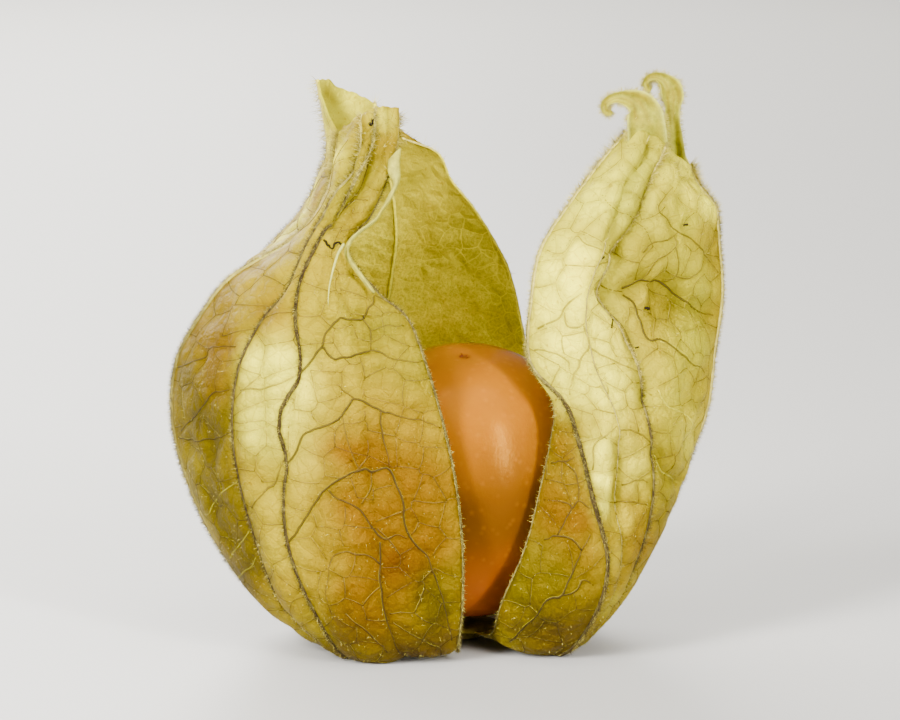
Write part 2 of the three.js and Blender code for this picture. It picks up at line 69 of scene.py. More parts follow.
# Ribs and torn edges, from the disc to the tip, in mm, as in the solids. radius is half the rib's
# thickness, dark how brown it is, hairs how many it has, and pale_from the share of its length from
# which it turns pale. sway moves it aside: share of its length, then mm. trim is how far the sheet's
# end is cut short there. The rest is about the panel after the rib: panel is its bulge from disc to
# tip, cell the size of its net's cells, and inner says that the photograph shows its inside.
LEFT_RIBS = [
    # Torn front edge
    dict(radius=0.09, dark=0.85, hairs=26, cell=1.9,
         panel=(0.1, 0.06, 0.06, 0.06, 0.1, 0.2), points=[
        (-0.3, -1.9, 1.0), (-0.6, -4.8, 0.9), (-0.5, -6.6, 1.0), (-0.2, -8.4, 4.1), (-0.2, -9.1, 8.2),
        (-0.6, -9.2, 12.1), (-1.4, -8.8, 15.9), (-2.5, -8.2, 19.7), (-3.7, -7.6, 22.6), (-5.6, -7.2, 24.2),
        (-7.6, -6.4, 27.0), (-6.1, -5.2, 28.9), (-5.1, -4.2, 31.1), (-4.4, -3.4, 33.5), (-4.3, -2.8, 35.3),
    ]),
    # Front vein
    dict(radius=0.0, dark=0.7, hairs=0, cell=1.9,
         panel=(0.12, 0.14, 0.08, 0.08, 0.06, 0.1), points=[
        (-0.9, -1.6, 1.0), (-2.6, -4.8, 0.9), (-4.2, -7.8, 0.9), (-5.0, -9.3, 4.5), (-5.6, -9.5, 8.3),
        (-5.9, -9.4, 12.2), (-6.3, -9.2, 16.0), (-6.6, -8.8, 19.6), (-7.2, -8.4, 22.5), (-8.0, -7.9, 24.6),
        (-8.4, -7.2, 27.0), (-7.4, -6.2, 28.8), (-5.8, -5.2, 31.1), (-5.0, -4.4, 33.6), (-5.0, -3.6, 35.9),
    ]),
    # Front rib
    dict(radius=0.135, dark=1.0, hairs=44, cell=1.9,
         sway=((0.357, 0), (0.377, -0.2), (0.394, 0), (0.421, 0.63), (0.4455, 0.71), (0.4625, 0.43),
               (0.481, 0)),
         panel=(0.1, 0.14, 0.16, 0.14, 0.08, 0.1), points=[
        (-1.4, -1.2, 1.0), (-4.2, -3.6, 0.8), (-7.5, -6.2, 0.25), (-9.8, -8.2, 4.0), (-11.3, -8.8, 8.1),
        (-11.6, -8.8, 12.0), (-11.2, -8.6, 15.9), (-10.5, -8.4, 19.7), (-10.8, -8.2, 22.7),
        (-10.5, -7.8, 25.0), (-9.5, -7.2, 27.2), (-8.6, -6.6, 28.8), (-7.2, -5.8, 31.0), (-6.0, -5.0, 33.5),
        (-5.7, -4.2, 36.0),
    ]),
    # Side rib
    dict(radius=0.13, dark=0.95, hairs=26, cell=2.4,
         panel=(0.1, 0.1, 0.05, 0.04, 0.04, 0.05), points=[
        (-1.7, -0.7, 1.0), (-4.8, -2.4, 0.8), (-8.0, -4.4, 0.25), (-11.7, -5.8, 3.6), (-13.3, -6.6, 7.7),
        (-14.4, -6.8, 11.7), (-14.9, -6.8, 15.6), (-14.4, -6.8, 19.5), (-13.0, -7.0, 22.3),
        (-11.4, -7.0, 24.2), (-10.3, -6.7, 26.8), (-9.3, -6.2, 28.6), (-8.1, -5.4, 30.7),
        (-7.1, -4.6, 33.1), (-6.6, -3.8, 35.2),
    ]),
    # Left rib
    dict(pale_from=0.5, radius=0.15, dark=0.75, hairs=60, cell=2.3,
         panel=(0.08, 0.05, 0.02, 0.02, 0.04, 0.05), points=[
        (-1.9, 0.0, 1.0), (-5.0, -0.8, 0.8), (-8.4, -2.2, 0.4), (-13.3, -1.8, 3.2), (-16.3, -1.0, 6.9),
        (-18.1, -0.4, 10.7), (-19.1, 0.0, 14.6), (-18.8, -0.4, 18.7), (-17.0, -1.6, 22.1),
        (-15.0, -2.4, 24.6), (-11.4, -3.2, 26.8), (-9.8, -3.4, 28.5), (-8.6, -3.2, 30.8),
        (-8.3, -2.6, 32.6), (-8.2, -1.8, 33.7),
    ]),
    # Back left rib
    dict(radius=0.18, dark=0.7, hairs=36, cell=1.6, inner=True,
         panel=(0.1, 0.12, 0.1, 0.1, 0.1, 0.08), points=[
        (-1.7, 0.9, 1.0), (-4.6, 1.6, 0.9), (-6.6, 3.2, 0.8), (-12.1, 5.2, 2.3), (-14.6, 6.8, 5.7),
        (-16.4, 7.6, 9.3), (-17.2, 8.0, 13.4), (-17.0, 7.4, 17.6), (-15.5, 6.4, 21.0), (-14.0, 5.0, 23.9),
        (-12.5, 3.4, 26.1), (-10.7, 2.0, 28.2), (-9.4, 1.0, 30.8), (-8.9, 0.6, 32.9), (-9.6, 0.6, 37.2),
    ]),
    # Back rib
    dict(radius=0.16, dark=0.6, hairs=30, cell=1.2, inner=True,
         panel=(0.1, 0.12, 0.1, 0.08, 0.08, 0.08), points=[
        (-0.9, 1.7, 1.0), (-2.6, 4.4, 0.8), (-3.6, 6.8, 0.25), (-5.2, 9.0, 1.5), (-5.9, 10.6, 4.8),
        (-6.2, 11.4, 8.6), (-6.2, 11.4, 12.8), (-5.9, 10.8, 17.0), (-5.3, 9.8, 20.5), (-4.9, 8.6, 23.2),
        (-4.6, 7.2, 25.6), (-4.7, 5.6, 28.2), (-5.1, 4.0, 30.9), (-5.6, 2.8, 33.4), (-5.9, 2.0, 35.4),
    ]),
    # Torn back edge
    dict(radius=0.1, dark=0.05, hairs=4, points=[
        (0.3, 1.9, 1.0), (1.0, 4.6, 0.8), (1.6, 6.6, 0.7), (1.6, 8.2, 1.8), (2.4, 9.2, 5.1),
        (3.2, 9.6, 9.0), (3.8, 9.4, 13.1), (4.2, 8.8, 16.9), (3.8, 8.4, 19.9), (3.0, 7.6, 23.4),
        (2.0, 6.8, 25.6), (0.6, 5.8, 28.0), (-0.9, 4.8, 30.0), (-1.8, 3.8, 31.9), (-4.0, 2.8, 33.0),
    ]),
]
RIGHT_RIBS = [
    # Torn front edge
    dict(pale_from=0.5, radius=0.06, dark=0.8, hairs=8, cell=2.0,
         panel=(0.1, 0.16, 0.16, 0.14, 0.0, 0.0), points=[
        (0.4, -1.9, 1.0), (1.4, -3.6, 1.1), (1.9, -5.0, 1.8), (2.4, -6.8, 4.0), (3.9, -7.6, 7.8),
        (4.9, -7.5, 11.8), (5.5, -7.1, 14.6), (5.7, -6.5, 16.8), (4.5, -5.2, 19.6), (4.6, -4.4, 23.4),
        (5.2, -3.8, 26.5), (7.0, -2.6, 29.3), (9.0, -1.2, 31.7), (10.8, -0.4, 33.6),
    ]),
    # Front rib
    dict(pale_from=0.5, radius=0.155, dark=1.0, hairs=48, cell=2.0,
         panel=(0.1, 0.12, 0.1, 0.1, 0.1, 0.1), points=[
        (0.9, -1.6, 1.0), (3.4, -3.6, 0.9), (6.3, -5.2, 0.25), (8.4, -7.4, 3.5), (9.1, -8.6, 7.1),
        (8.1, -8.8, 11.3), (7.3, -8.4, 14.6), (6.4, -7.6, 17.1), (4.2, -6.0, 19.6), (4.3, -5.4, 23.5),
        (4.9, -5.0, 26.7), (6.7, -3.8, 29.4), (8.7, -2.4, 31.9), (10.5, -1.4, 33.9),
    ]),
    # Front midrib
    dict(radius=0.045, dark=0.5, hairs=2, cell=1.8,
         panel=(0.1, 0.1, 0.05, 0.0, -0.2, -0.1), points=[
        (1.3, -1.2, 1.0), (3.9, -2.8, 0.8), (6.6, -4.6, 0.25), (9.1, -6.4, 3.6), (10.0, -7.2, 6.8),
        (9.8, -7.8, 10.6), (10.0, -7.9, 14.2), (9.5, -7.8, 16.7), (8.2, -7.6, 19.8), (7.6, -7.3, 23.8),
        (8.9, -6.4, 26.9), (10.0, -5.2, 29.5), (11.3, -3.6, 31.8), (12.0, -2.4, 33.9),
    ]),
    # Seam rib
    dict(trim=0.3, pale_from=0.5, radius=0.12, dark=0.92, hairs=30, cell=1.9,
         panel=(0.1, 0.1, 0.08, 0.1, 0.08, 0.05), points=[
        (1.6, -0.8, 1.0), (4.2, -2.0, 0.8), (6.8, -3.8, 0.35), (9.5, -4.8, 3.4), (11.1, -5.6, 6.7),
        (12.0, -6.2, 10.3), (12.0, -6.4, 13.9), (11.6, -6.4, 16.4), (11.2, -6.2, 19.6), (8.8, -5.2, 23.7),
        (10.0, -5.2, 27.0), (11.2, -4.4, 29.0), (12.3, -3.0, 31.5), (13.1, -1.8, 33.4),
    ]),
    # Right rib
    dict(trim=1.7, pale_from=0.35, radius=0.14, dark=0.6, hairs=54, cell=2.1,
         panel=(0.08, 0.05, 0.02, 0.02, 0.04, 0.05), points=[
        (1.9, 0.0, 1.0), (4.6, -0.6, 0.8), (7.2, -2.0, 0.5), (10.0, -1.8, 3.3), (11.7, -1.2, 6.4),
        (13.6, -0.8, 9.6), (15.0, -0.4, 13.2), (15.9, 0.0, 15.9), (16.3, 0.4, 19.3), (16.8, 0.8, 22.7),
        (16.6, 0.8, 26.1), (16.2, 0.6, 28.7), (14.6, 0.2, 31.6), (14.0, 0.0, 33.2),
    ]),
    # Back rib
    dict(trim=1.0, pale_from=0.5, radius=0.16, dark=0.6, hairs=30, cell=2.1,
         panel=(0.1, 0.12, 0.12, 0.1, 0.08, 0.05), points=[
        (1.5, 1.1, 1.0), (3.8, 2.8, 0.8), (5.4, 4.2, 0.25), (8.8, 4.6, 2.4), (10.6, 6.0, 5.2),
        (12.3, 6.8, 8.5), (13.7, 7.2, 12.1), (14.5, 7.4, 15.1), (15.1, 7.2, 18.6), (15.5, 6.6, 22.1),
        (15.2, 5.6, 25.4), (14.9, 4.2, 28.3), (14.1, 2.4, 31.3), (13.6, 1.2, 33.5),
    ]),
    # Torn back edge
    dict(radius=0.1, dark=0.3, hairs=14, points=[
        (0.7, 1.8, 1.0), (2.2, 4.4, 0.9), (3.4, 5.8, 0.7), (4.6, 7.4, 1.8), (5.1, 8.6, 4.7),
        (6.1, 9.2, 8.3), (7.0, 9.2, 11.8), (7.5, 9.0, 14.8), (7.8, 8.6, 18.4), (8.0, 7.8, 21.9),
        (8.4, 6.6, 25.3), (9.4, 5.2, 28.2), (11.0, 3.0, 31.2), (12.1, 1.2, 33.5),
    ]),
]


def linear(hex_colour):
    """Linear RGB of an sRGB colour written #rrggbb."""
    shares = [int(hex_colour[i : i + 2], 16) / 255 for i in (1, 3, 5)]
    return np.array([s / 12.92 if s <= 0.04045 else ((s + 0.055) / 1.055) ** 2.4 for s in shares])


# Colours of the husk, in linear light
STRAW = np.array((0.42, 0.33, 0.001))
CREAM = np.array((0.97, 0.91, 0.04))
GOLD = np.array((0.2, 0.108, 0.0002))
AMBER = np.array((0.185, 0.08, 0.0002))
DARK_GOLD = np.array((0.09, 0.064, 0.0002))
KHAKI = np.array((0.26, 0.22, 0.002))
OLIVE = np.array((0.19, 0.15, 0.001))
PALE_OLIVE = np.array((0.46, 0.42, 0.006))
BROWN = np.array((0.045, 0.022, 0.001))
RUST = np.array((0.085, 0.026, 0.0002))
PALE_GREEN = np.array((0.46, 0.44, 0.02))
INSIDE_GOLD = np.array((0.44, 0.38, 0.012))
INSIDE_DEEP = np.array((0.5, 0.4, 0.012))
VEIN_DARK = np.array((0.024, 0.015, 0.001))
VEIN_INSIDE = np.array((0.72, 0.64, 0.012))
RIB_DARK = np.array((0.035, 0.022, 0.006))
RIB_PALE = np.array((0.42, 0.36, 0.07))
HAIR_DARK = np.array((0.07, 0.048, 0.014))
HAIR = np.array((0.5, 0.43, 0.08))
THREAD_PALE = np.array((0.42, 0.41, 0.07))

# Patches of colour, each at the place with these pixels in the photograph: radius in mm, colour
# and strength. Each lies over the ones before.
LEFT_PATCHES = [
    ((200, 330), 5.0, GOLD, 0.7),
    # Painted shade as well as its own darker gold: the dark gold patches over the left outer panel, which
    # turns away from the light.
    ((200, 420), 5.5, DARK_GOLD, 0.9),
    ((215, 500), 4.0, DARK_GOLD, 0.8),
    ((235, 560), 3.0, DARK_GOLD, 0.8),
    ((310, 330), 3.5, STRAW, 0.9),
    ((330, 400), 3.5, STRAW, 0.8),
    # Painted highlight as well as paler membrane: the cream patches on the strip beside the front rib, which
    # faces the light.
    ((268, 372), 1.9, CREAM, 1.3),
    ((268, 425), 2.0, CREAM, 1.0),
    ((285, 375), 1.4, CREAM, 0.7),
    ((300, 400), 1.4, CREAM, 0.5),
    ((268, 490), 2.2, STRAW, 0.8),
    ((278, 560), 1.6, STRAW, 0.7),
    ((310, 460), 2.4, CREAM, 0.35),
    ((300, 540), 3.0, STRAW, 0.6),
    ((385, 320), 3.2, KHAKI, 0.8),
    ((415, 370), 2.6, KHAKI, 0.8),
    ((435, 480), 3.4, GOLD, 1.0),
    # Painted light and shade over the sheet's own orange stains: the amber and rust patches on the front
    # lobe are the berry's orange glowing through the sheet and the lobe's shaded side.
    ((375, 460), 4.4, AMBER, 0.9),
    ((360, 510), 3.0, AMBER, 0.8),
    ((385, 505), 2.4, RUST, 0.3),
    ((396, 556), 2.0, RUST, 1.0),
    ((390, 610), 2.6, RUST, 0.4),
    ((440, 570), 1.5, OLIVE, 0.5),
    ((425, 620), 2.6, OLIVE, 0.7),
    ((355, 590), 3.0, AMBER, 0.7),
    ((425, 540), 2.4, AMBER, 0.8),
    ((340, 645), 3.0, BROWN, 0.8),
    ((420, 652), 2.6, BROWN, 0.9),
    ((322, 225), 2.0, STRAW, 0.8),
    ((352, 175), 2.6, KHAKI * 1.25, 0.8),
    ((330, 145), 1.1, CREAM, 0.9),
    ((316, 190), 1.1, CREAM, 0.9),
    ((303, 218), 1.1, CREAM, 0.9),
    ((280, 245), 1.0, CREAM, 0.7),
    ((383, 140), 1.3, GOLD, 0.5),
    ((385, 118), 0.8, CREAM, 0.6),
    ((345, 95), 1.3, CREAM, 0.7),
    ((325, 110), 1.4, PALE_GREEN, 0.8),
    ((340, 152), 1.0, CREAM, 0.8),
    ((272, 312), 1.7, GOLD, 0.9),
    # More painted shade over the left outer panel: gold made darker step by step towards it.
    ((222, 345), 1.7, GOLD * 0.8, 1.0),
    ((220, 385), 1.5, GOLD * 0.7, 1.0),
    ((220, 425), 1.6, DARK_GOLD, 1.0),
    ((238, 520), 2.0, DARK_GOLD, 0.9),
    ((252, 560), 1.8, DARK_GOLD, 0.9),
    ((435, 605), 2.2, DARK_GOLD * 0.8, 1.0),
    # More of the berry's orange glow through the front lobe, painted over its own stains.
    ((375, 600), 2.2, AMBER * 0.7, 0.8),
    ((400, 560), 1.6, RUST, 0.8),
    ((425, 535), 1.4, AMBER * 0.8, 0.7),
]
RIGHT_PATCHES = [
    # Painted highlight as well as pale membrane: the cream patches on the upper right sheet, which faces the
    # light.
    ((600, 200), 4.5, CREAM * 0.72, 0.9),
    ((560, 290), 3.6, CREAM, 1.1),
    ((560, 350), 2.4, CREAM, 0.9),
    ((590, 380), 3.4, CREAM, 0.85),
    ((607, 605), 0.9, CREAM, 0.5),
    ((632, 470), 1.4, CREAM, 0.4),
    ((655, 150), 2.6, PALE_GREEN, 0.8),
    ((640, 215), 2.0, PALE_GREEN, 0.7),
    ((695, 170), 2.0, CREAM, 1.1),
    ((705, 205), 1.4, CREAM, 0.9),
    ((680, 230), 2.6, PALE_OLIVE, 0.8),
    ((690, 285), 2.6, PALE_OLIVE, 0.7),
    ((665, 305), 2.0, DARK_GOLD, 0.55),
    ((690, 340), 2.6, PALE_OLIVE, 0.9),
    ((672, 400), 2.8, PALE_OLIVE, 0.9),
    ((688, 440), 1.8, CREAM * 0.7, 0.8),
    ((640, 545), 2.0, GOLD, 0.8),
    ((628, 520), 1.6, GOLD, 0.7),
    ((665, 480), 2.0, KHAKI, 0.7),
    ((660, 510), 1.6, OLIVE, 0.6),
    # Painted shade and painted glow: the flap beside the berry turns away from the light, and the berry's
    # orange shows through it.
    ((562, 432), 2.0, OLIVE, 0.9),
    ((572, 465), 2.6, GOLD * 0.85, 1.0),
    ((570, 510), 2.8, AMBER * 0.8, 1.0),
    ((568, 548), 2.4, RUST, 0.35),
    ((532, 555), 1.2, OLIVE, 0.8),
    ((522, 590), 1.3, OLIVE, 0.8),
    ((512, 620), 1.3, OLIVE, 0.7),
    ((560, 590), 3.0, GOLD * 0.8, 0.7),
    ((535, 615), 2.4, BROWN, 0.6),
    ((565, 635), 3.0, BROWN, 0.9),
    ((560, 595), 2.0, DARK_GOLD, 0.8),
    ((540, 575), 1.8, OLIVE * 0.5, 0.9),
    ((640, 250), 2.0, OLIVE * 1.3, 0.8),
    ((665, 305), 1.6, DARK_GOLD * 1.6, 0.8),
    ((520, 600), 1.8, OLIVE * 0.5, 0.9),
    # Painted highlight as well as pale membrane: the cream and pale straw strip right of the front rib, on
    # the panel that faces the light.
    ((602, 450), 1.1, CREAM, 1.0),
    ((603, 478), 0.9, CREAM, 1.0),
    ((607, 505), 0.8, CREAM, 0.8),
    ((620, 520), 1.0, STRAW * 1.4, 1.0),
    ((616, 555), 0.8, STRAW * 1.4, 0.9),
]

# Veins, folds and specks by their pixels in the photograph. A vein has a weight, from 0 for the
# finest to 1 for a strong one, negative for one that shows pale.
LEFT_VEINS = [
    (1.0, [(299, 373), (310, 361), (322, 348), (330, 356), (348, 356), (371, 351), (393, 358), (422, 358)]),
    (0.9, [(322, 348), (330, 331), (342, 317), (362, 319), (372, 305), (374, 296), (393, 299)]),
    (0.6, [(362, 319), (370, 331), (371, 351)]),
    (0.4, [(370, 331), (386, 326), (405, 330)]),
    (1.0, [(286, 466), (297, 452), (310, 433), (339, 419), (356, 401), (381, 413), (393, 410), (417, 421),
           (441, 426)]),
    (0.6, [(356, 401), (345, 392), (334, 386)]),
    (0.8, [(381, 413), (383, 433), (389, 467)]),
    (0.4, [(342, 416), (347, 438), (360, 468)]),
    (1.0, [(286, 545), (298, 528), (315, 506), (330, 487), (359, 468), (371, 472), (390, 467), (402, 491),
           (410, 536), (424, 557), (439, 586), (446, 613), (450, 640)]),
    (0.8, [(330, 490), (339, 499), (359, 507), (368, 521), (383, 538), (395, 535), (408, 537)]),
    (0.4, [(360, 506), (373, 489), (372, 472)]),
    (0.9, [(382, 539), (379, 562), (381, 586), (384, 608), (393, 632), (400, 653)]),
    (0.6, [(379, 562), (368, 553), (354, 553), (344, 550), (332, 559), (328, 584), (330, 612)]),
    (0.5, [(345, 610), (362, 625), (378, 640), (388, 652)]),
    (0.6, [(240, 392), (264, 391), (276, 385), (299, 373)]),
    (0.4, [(235, 424), (259, 419), (281, 426)]),
    (0.6, [(252, 507), (264, 491), (274, 479), (281, 458)]),
    (0.6, [(179, 365), (201, 361), (216, 350), (238, 348)]),
    (0.7, [(182, 431), (204, 409), (218, 395), (230, 388)]),
    (0.6, [(179, 439), (201, 438), (230, 436)]),
    (-0.3, [(238, 478), (226, 490), (211, 513)]),
    (-0.3, [(257, 521), (245, 536), (233, 557)]),
    (-0.25, [(257, 557), (252, 568), (243, 577)]),
    (0.7, [(374, 112), (376, 127), (373, 156), (367, 183), (356, 198)]),
    (0.7, [(351, 140), (338, 167), (333, 194), (319, 219), (307, 232), (290, 242)]),
    (0.9, [(331, 222), (341, 213), (356, 203), (370, 197)]),
]
RIGHT_VEINS = [
    (0.7, [(657, 213), (668, 222), (677, 234), (691, 244), (704, 258), (716, 272)]),
    (0.5, [(657, 213), (659, 204), (672, 190)]),
    (0.5, [(641, 251), (652, 242), (672, 237), (677, 234)]),
    (0.5, [(672, 237), (672, 248), (654, 260), (648, 274), (645, 283)]),
    (0.5, [(672, 248), (675, 261), (675, 274), (666, 283)]),
    (0.5, [(675, 274), (686, 276), (691, 272), (702, 261)]),
    (1.0, [(624, 289), (631, 283), (645, 281), (666, 283), (677, 292), (688, 304), (707, 313), (716, 315)]),
    (1.0, [(624, 297), (634, 304), (639, 320), (645, 335), (659, 342), (676, 352), (693, 366), (709, 380)]),
    (0.8, [(601, 297), (616, 315), (627, 331), (636, 347), (643, 369)]),
    (0.4, [(547, 252), (565, 252), (579, 238), (586, 245), (599, 249), (609, 256)]),
    (0.6, [(541, 329), (556, 320), (563, 306), (575, 298), (580, 295)]),
    (0.5, [(563, 310), (566, 324), (582, 326), (588, 313)]),
    (0.5, [(586, 326), (588, 347), (581, 358), (578, 372), (572, 382), (571, 395)]),
    (0.5, [(588, 347), (602, 354), (620, 365), (643, 372)]),
    (0.5, [(536, 352), (556, 351), (568, 358), (571, 369)]),
    (0.5, [(619, 431), (632, 433), (646, 439), (652, 443)]),
    (0.5, [(625, 483), (636, 478), (648, 481)]),
    (0.5, [(618, 506), (632, 503), (648, 506)]),
    (0.5, [(592, 471), (594, 449), (599, 439), (606, 437), (617, 428)]),
    (-0.5, [(655, 391), (665, 407), (678, 409), (691, 424), (695, 431)]),
    (-0.5, [(659, 456), (667, 471), (677, 486)]),
    (-0.5, [(657, 338), (676, 350), (693, 364), (709, 378)]),
    (1.0, [(510, 640), (522, 631), (535, 616), (549, 602), (564, 591), (571, 574), (583, 551), (589, 532)]),
    (0.8, [(583, 551), (571, 540), (560, 536), (553, 533), (545, 536)]),
    (0.6, [(560, 536), (566, 521), (569, 506), (564, 501), (545, 501)]),
    (0.6, [(569, 506), (579, 501), (589, 506)]),
    (0.7, [(564, 591), (577, 591), (583, 583), (594, 584)]),
    (0.6, [(551, 464), (564, 462), (574, 458)]),
    (0.5, [(564, 462), (575, 473), (578, 487), (579, 501)]),
]

# Folds pressed into a sheet: depth in mm, negative where the sheet stands up, then half the width.
LEFT_FOLDS = [
    (0.7, 0.5, [(376, 127), (373, 156), (367, 183), (356, 198), (335, 222)]),
    (-0.4, 0.5, [(351, 140), (338, 167), (333, 194), (319, 219), (300, 238)]),
    (0.6, 0.5, [(362, 130), (350, 160), (345, 190), (330, 215)]),
    (0.45, 0.9, [(262, 350), (262, 420), (272, 480)]),
    (0.4, 0.6, [(362, 319), (370, 331), (371, 351)]),
]
RIGHT_FOLDS = [
    (0.9, 0.5, [(649, 138), (648, 154), (634, 176), (627, 190), (615, 226), (610, 242)]),
    (0.8, 0.45, [(658, 169), (650, 187), (643, 208), (634, 226), (624, 242), (616, 258)]),
    (0.35, 0.4, [(616, 261), (609, 280), (602, 295)]),
    (-0.5, 0.8, [(579, 258), (580, 286), (586, 303), (600, 315), (620, 329)]),
    (-0.5, 0.7, [(672, 178), (680, 192), (691, 201), (708, 212)]),
    (0.5, 0.8, [(624, 289), (645, 281), (666, 283), (688, 304), (710, 314)]),
    (-0.4, 0.4, [(656, 276), (648, 288), (638, 300)]),
    (0.5, 0.7, [(601, 297), (616, 315), (627, 331), (636, 347), (643, 369), (645, 400)]),
    (0.5, 0.6, [(620, 445), (621, 466), (617, 496), (615, 519)]),
    (0.5, 0.6, [(657, 452), (665, 468), (677, 485)]),
    (-0.4, 0.5, [(655, 391), (665, 407), (678, 409), (691, 424)]),
]
# Painted shade in the folds of the sheets:
FOLD_PAINTED_SHADE = 0.45  # how much darker the sheet is at the bottom of a fold 1 mm deep

# Pale and dark places inside the left sheet: centre and radius in mm, colour, strength
INSIDE_PATCHES = [
    ((-8.6, 0.8, 35.6), 3.0, PALE_GREEN * 0.7, 0.9),
    ((-7.3, 1.2, 35.6), 1.2, CREAM, 0.9),
    ((-9.5, 0.5, 35.3), 0.8, OLIVE, 0.7),
    ((-8.9, 0.9, 36.3), 0.45, DARK_GOLD, 0.9),
    ((-8.5, 1.0, 35.8), 0.45, DARK_GOLD, 0.9),
    ((-8.1, 1.0, 35.2), 0.45, DARK_GOLD, 0.9),
    ((-7.7, 1.0, 34.6), 0.45, DARK_GOLD, 0.9),
    ((-4.6, 7.0, 24.0), 4.0, STRAW, 0.7),
    ((-1.6, 9.5, 20.5), 4.0, INSIDE_GOLD * 1.9, 1.0),
    ((-6.8, 5.0, 25.4), 3.0, CREAM * 0.9, 1.0),
]


def placed(points):
    """Points in mm round the berry as points of the frame, in metres."""
    return np.asarray(points, float) * MM + OVER_BERRY


def unit(vectors):
    length = np.linalg.norm(vectors, axis=-1, keepdims=True)
    return vectors / np.maximum(length, 1e-9)


def mixed(a, b, share):
    return a + (b - a) * share


def bell(x):
    return np.exp(-(x**2))


def grid_normals(points):
    return unit(np.cross(np.gradient(points, axis=0), np.gradient(points, axis=1)))


def spline(points, v):
    """Points on the spline through points, where v runs from 0 to 1 with an even share for each span."""
    p = np.asarray(points, float)
    p = np.vstack([2 * p[0] - p[1], p, 2 * p[-1] - p[-2]])
    x = np.clip(np.asarray(v, float), 0, 1) * (len(p) - 3)
    i = np.minimum(x.astype(int), len(p) - 4)
    f = (x - i)[..., None]
    a, b, c, d = p[i], p[i + 1], p[i + 2], p[i + 3]
    square = 2 * a - 5 * b + 4 * c - d
    cube = 3 * b - a - 3 * c + d
    return 0.5 * (2 * b + (c - a) * f + square * f**2 + cube * f**3)


def spline_direction(points, v):
    step = 1e-3
    return unit(spline(points, np.minimum(v + step, 1)) - spline(points, np.maximum(v - step, 0)))


def smoothstep(low, high, x):
    s = np.clip((x - low) / (high - low), 0, 1)
    return s * s * (3 - 2 * s)


def noise_at(points, wavelength, seed):
    """Smooth noise from about -1 to 1 at each point."""
    shift = Vector((seed * 17.3, seed * 5.1, seed * 9.7))
    return np.array([noise.noise(Vector(p) / wavelength + shift) for p in points])


# The photograph's camera
PHOTO_ELEVATION = math.radians(9.0)
CAMERA_DISTANCE = 300.0
CAMERA_TARGET = np.array([-0.98, 0.0, 18.73])
TOWARDS_CAMERA = np.array([0.0, -math.cos(PHOTO_ELEVATION), math.sin(PHOTO_ELEVATION)])
CAMERA_UP = np.array([0.0, math.sin(PHOTO_ELEVATION), math.cos(PHOTO_ELEVATION)])
LENS = CAMERA_TARGET + CAMERA_DISTANCE * TOWARDS_CAMERA
SENSOR = 36.0
PIXEL = 0.0655  # mm at the target
PHOTO_WIDTH, PHOTO_HEIGHT = 900, 720


def pixels_of(points):
    """Where points in mm appear in the photograph."""
    away = points - CAMERA_TARGET
    scale = CAMERA_DISTANCE / (CAMERA_DISTANCE - away @ TOWARDS_CAMERA) / PIXEL
    across = PHOTO_WIDTH / 2 + away[..., 0] * scale
    down = PHOTO_HEIGHT / 2 - away @ CAMERA_UP * scale
    return np.stack([across, down], -1)


def seen_point(px, py, y):
    """The point in mm, at depth y, that appears at a pixel of the photograph."""
    across = (px - PHOTO_WIDTH / 2) * PIXEL
    up = (PHOTO_HEIGHT / 2 - py) * PIXEL
    ray = CAMERA_TARGET + across * np.array([1.0, 0.0, 0.0]) + up * CAMERA_UP - LENS
    return LENS + ray * (y - LENS[1]) / ray[1]


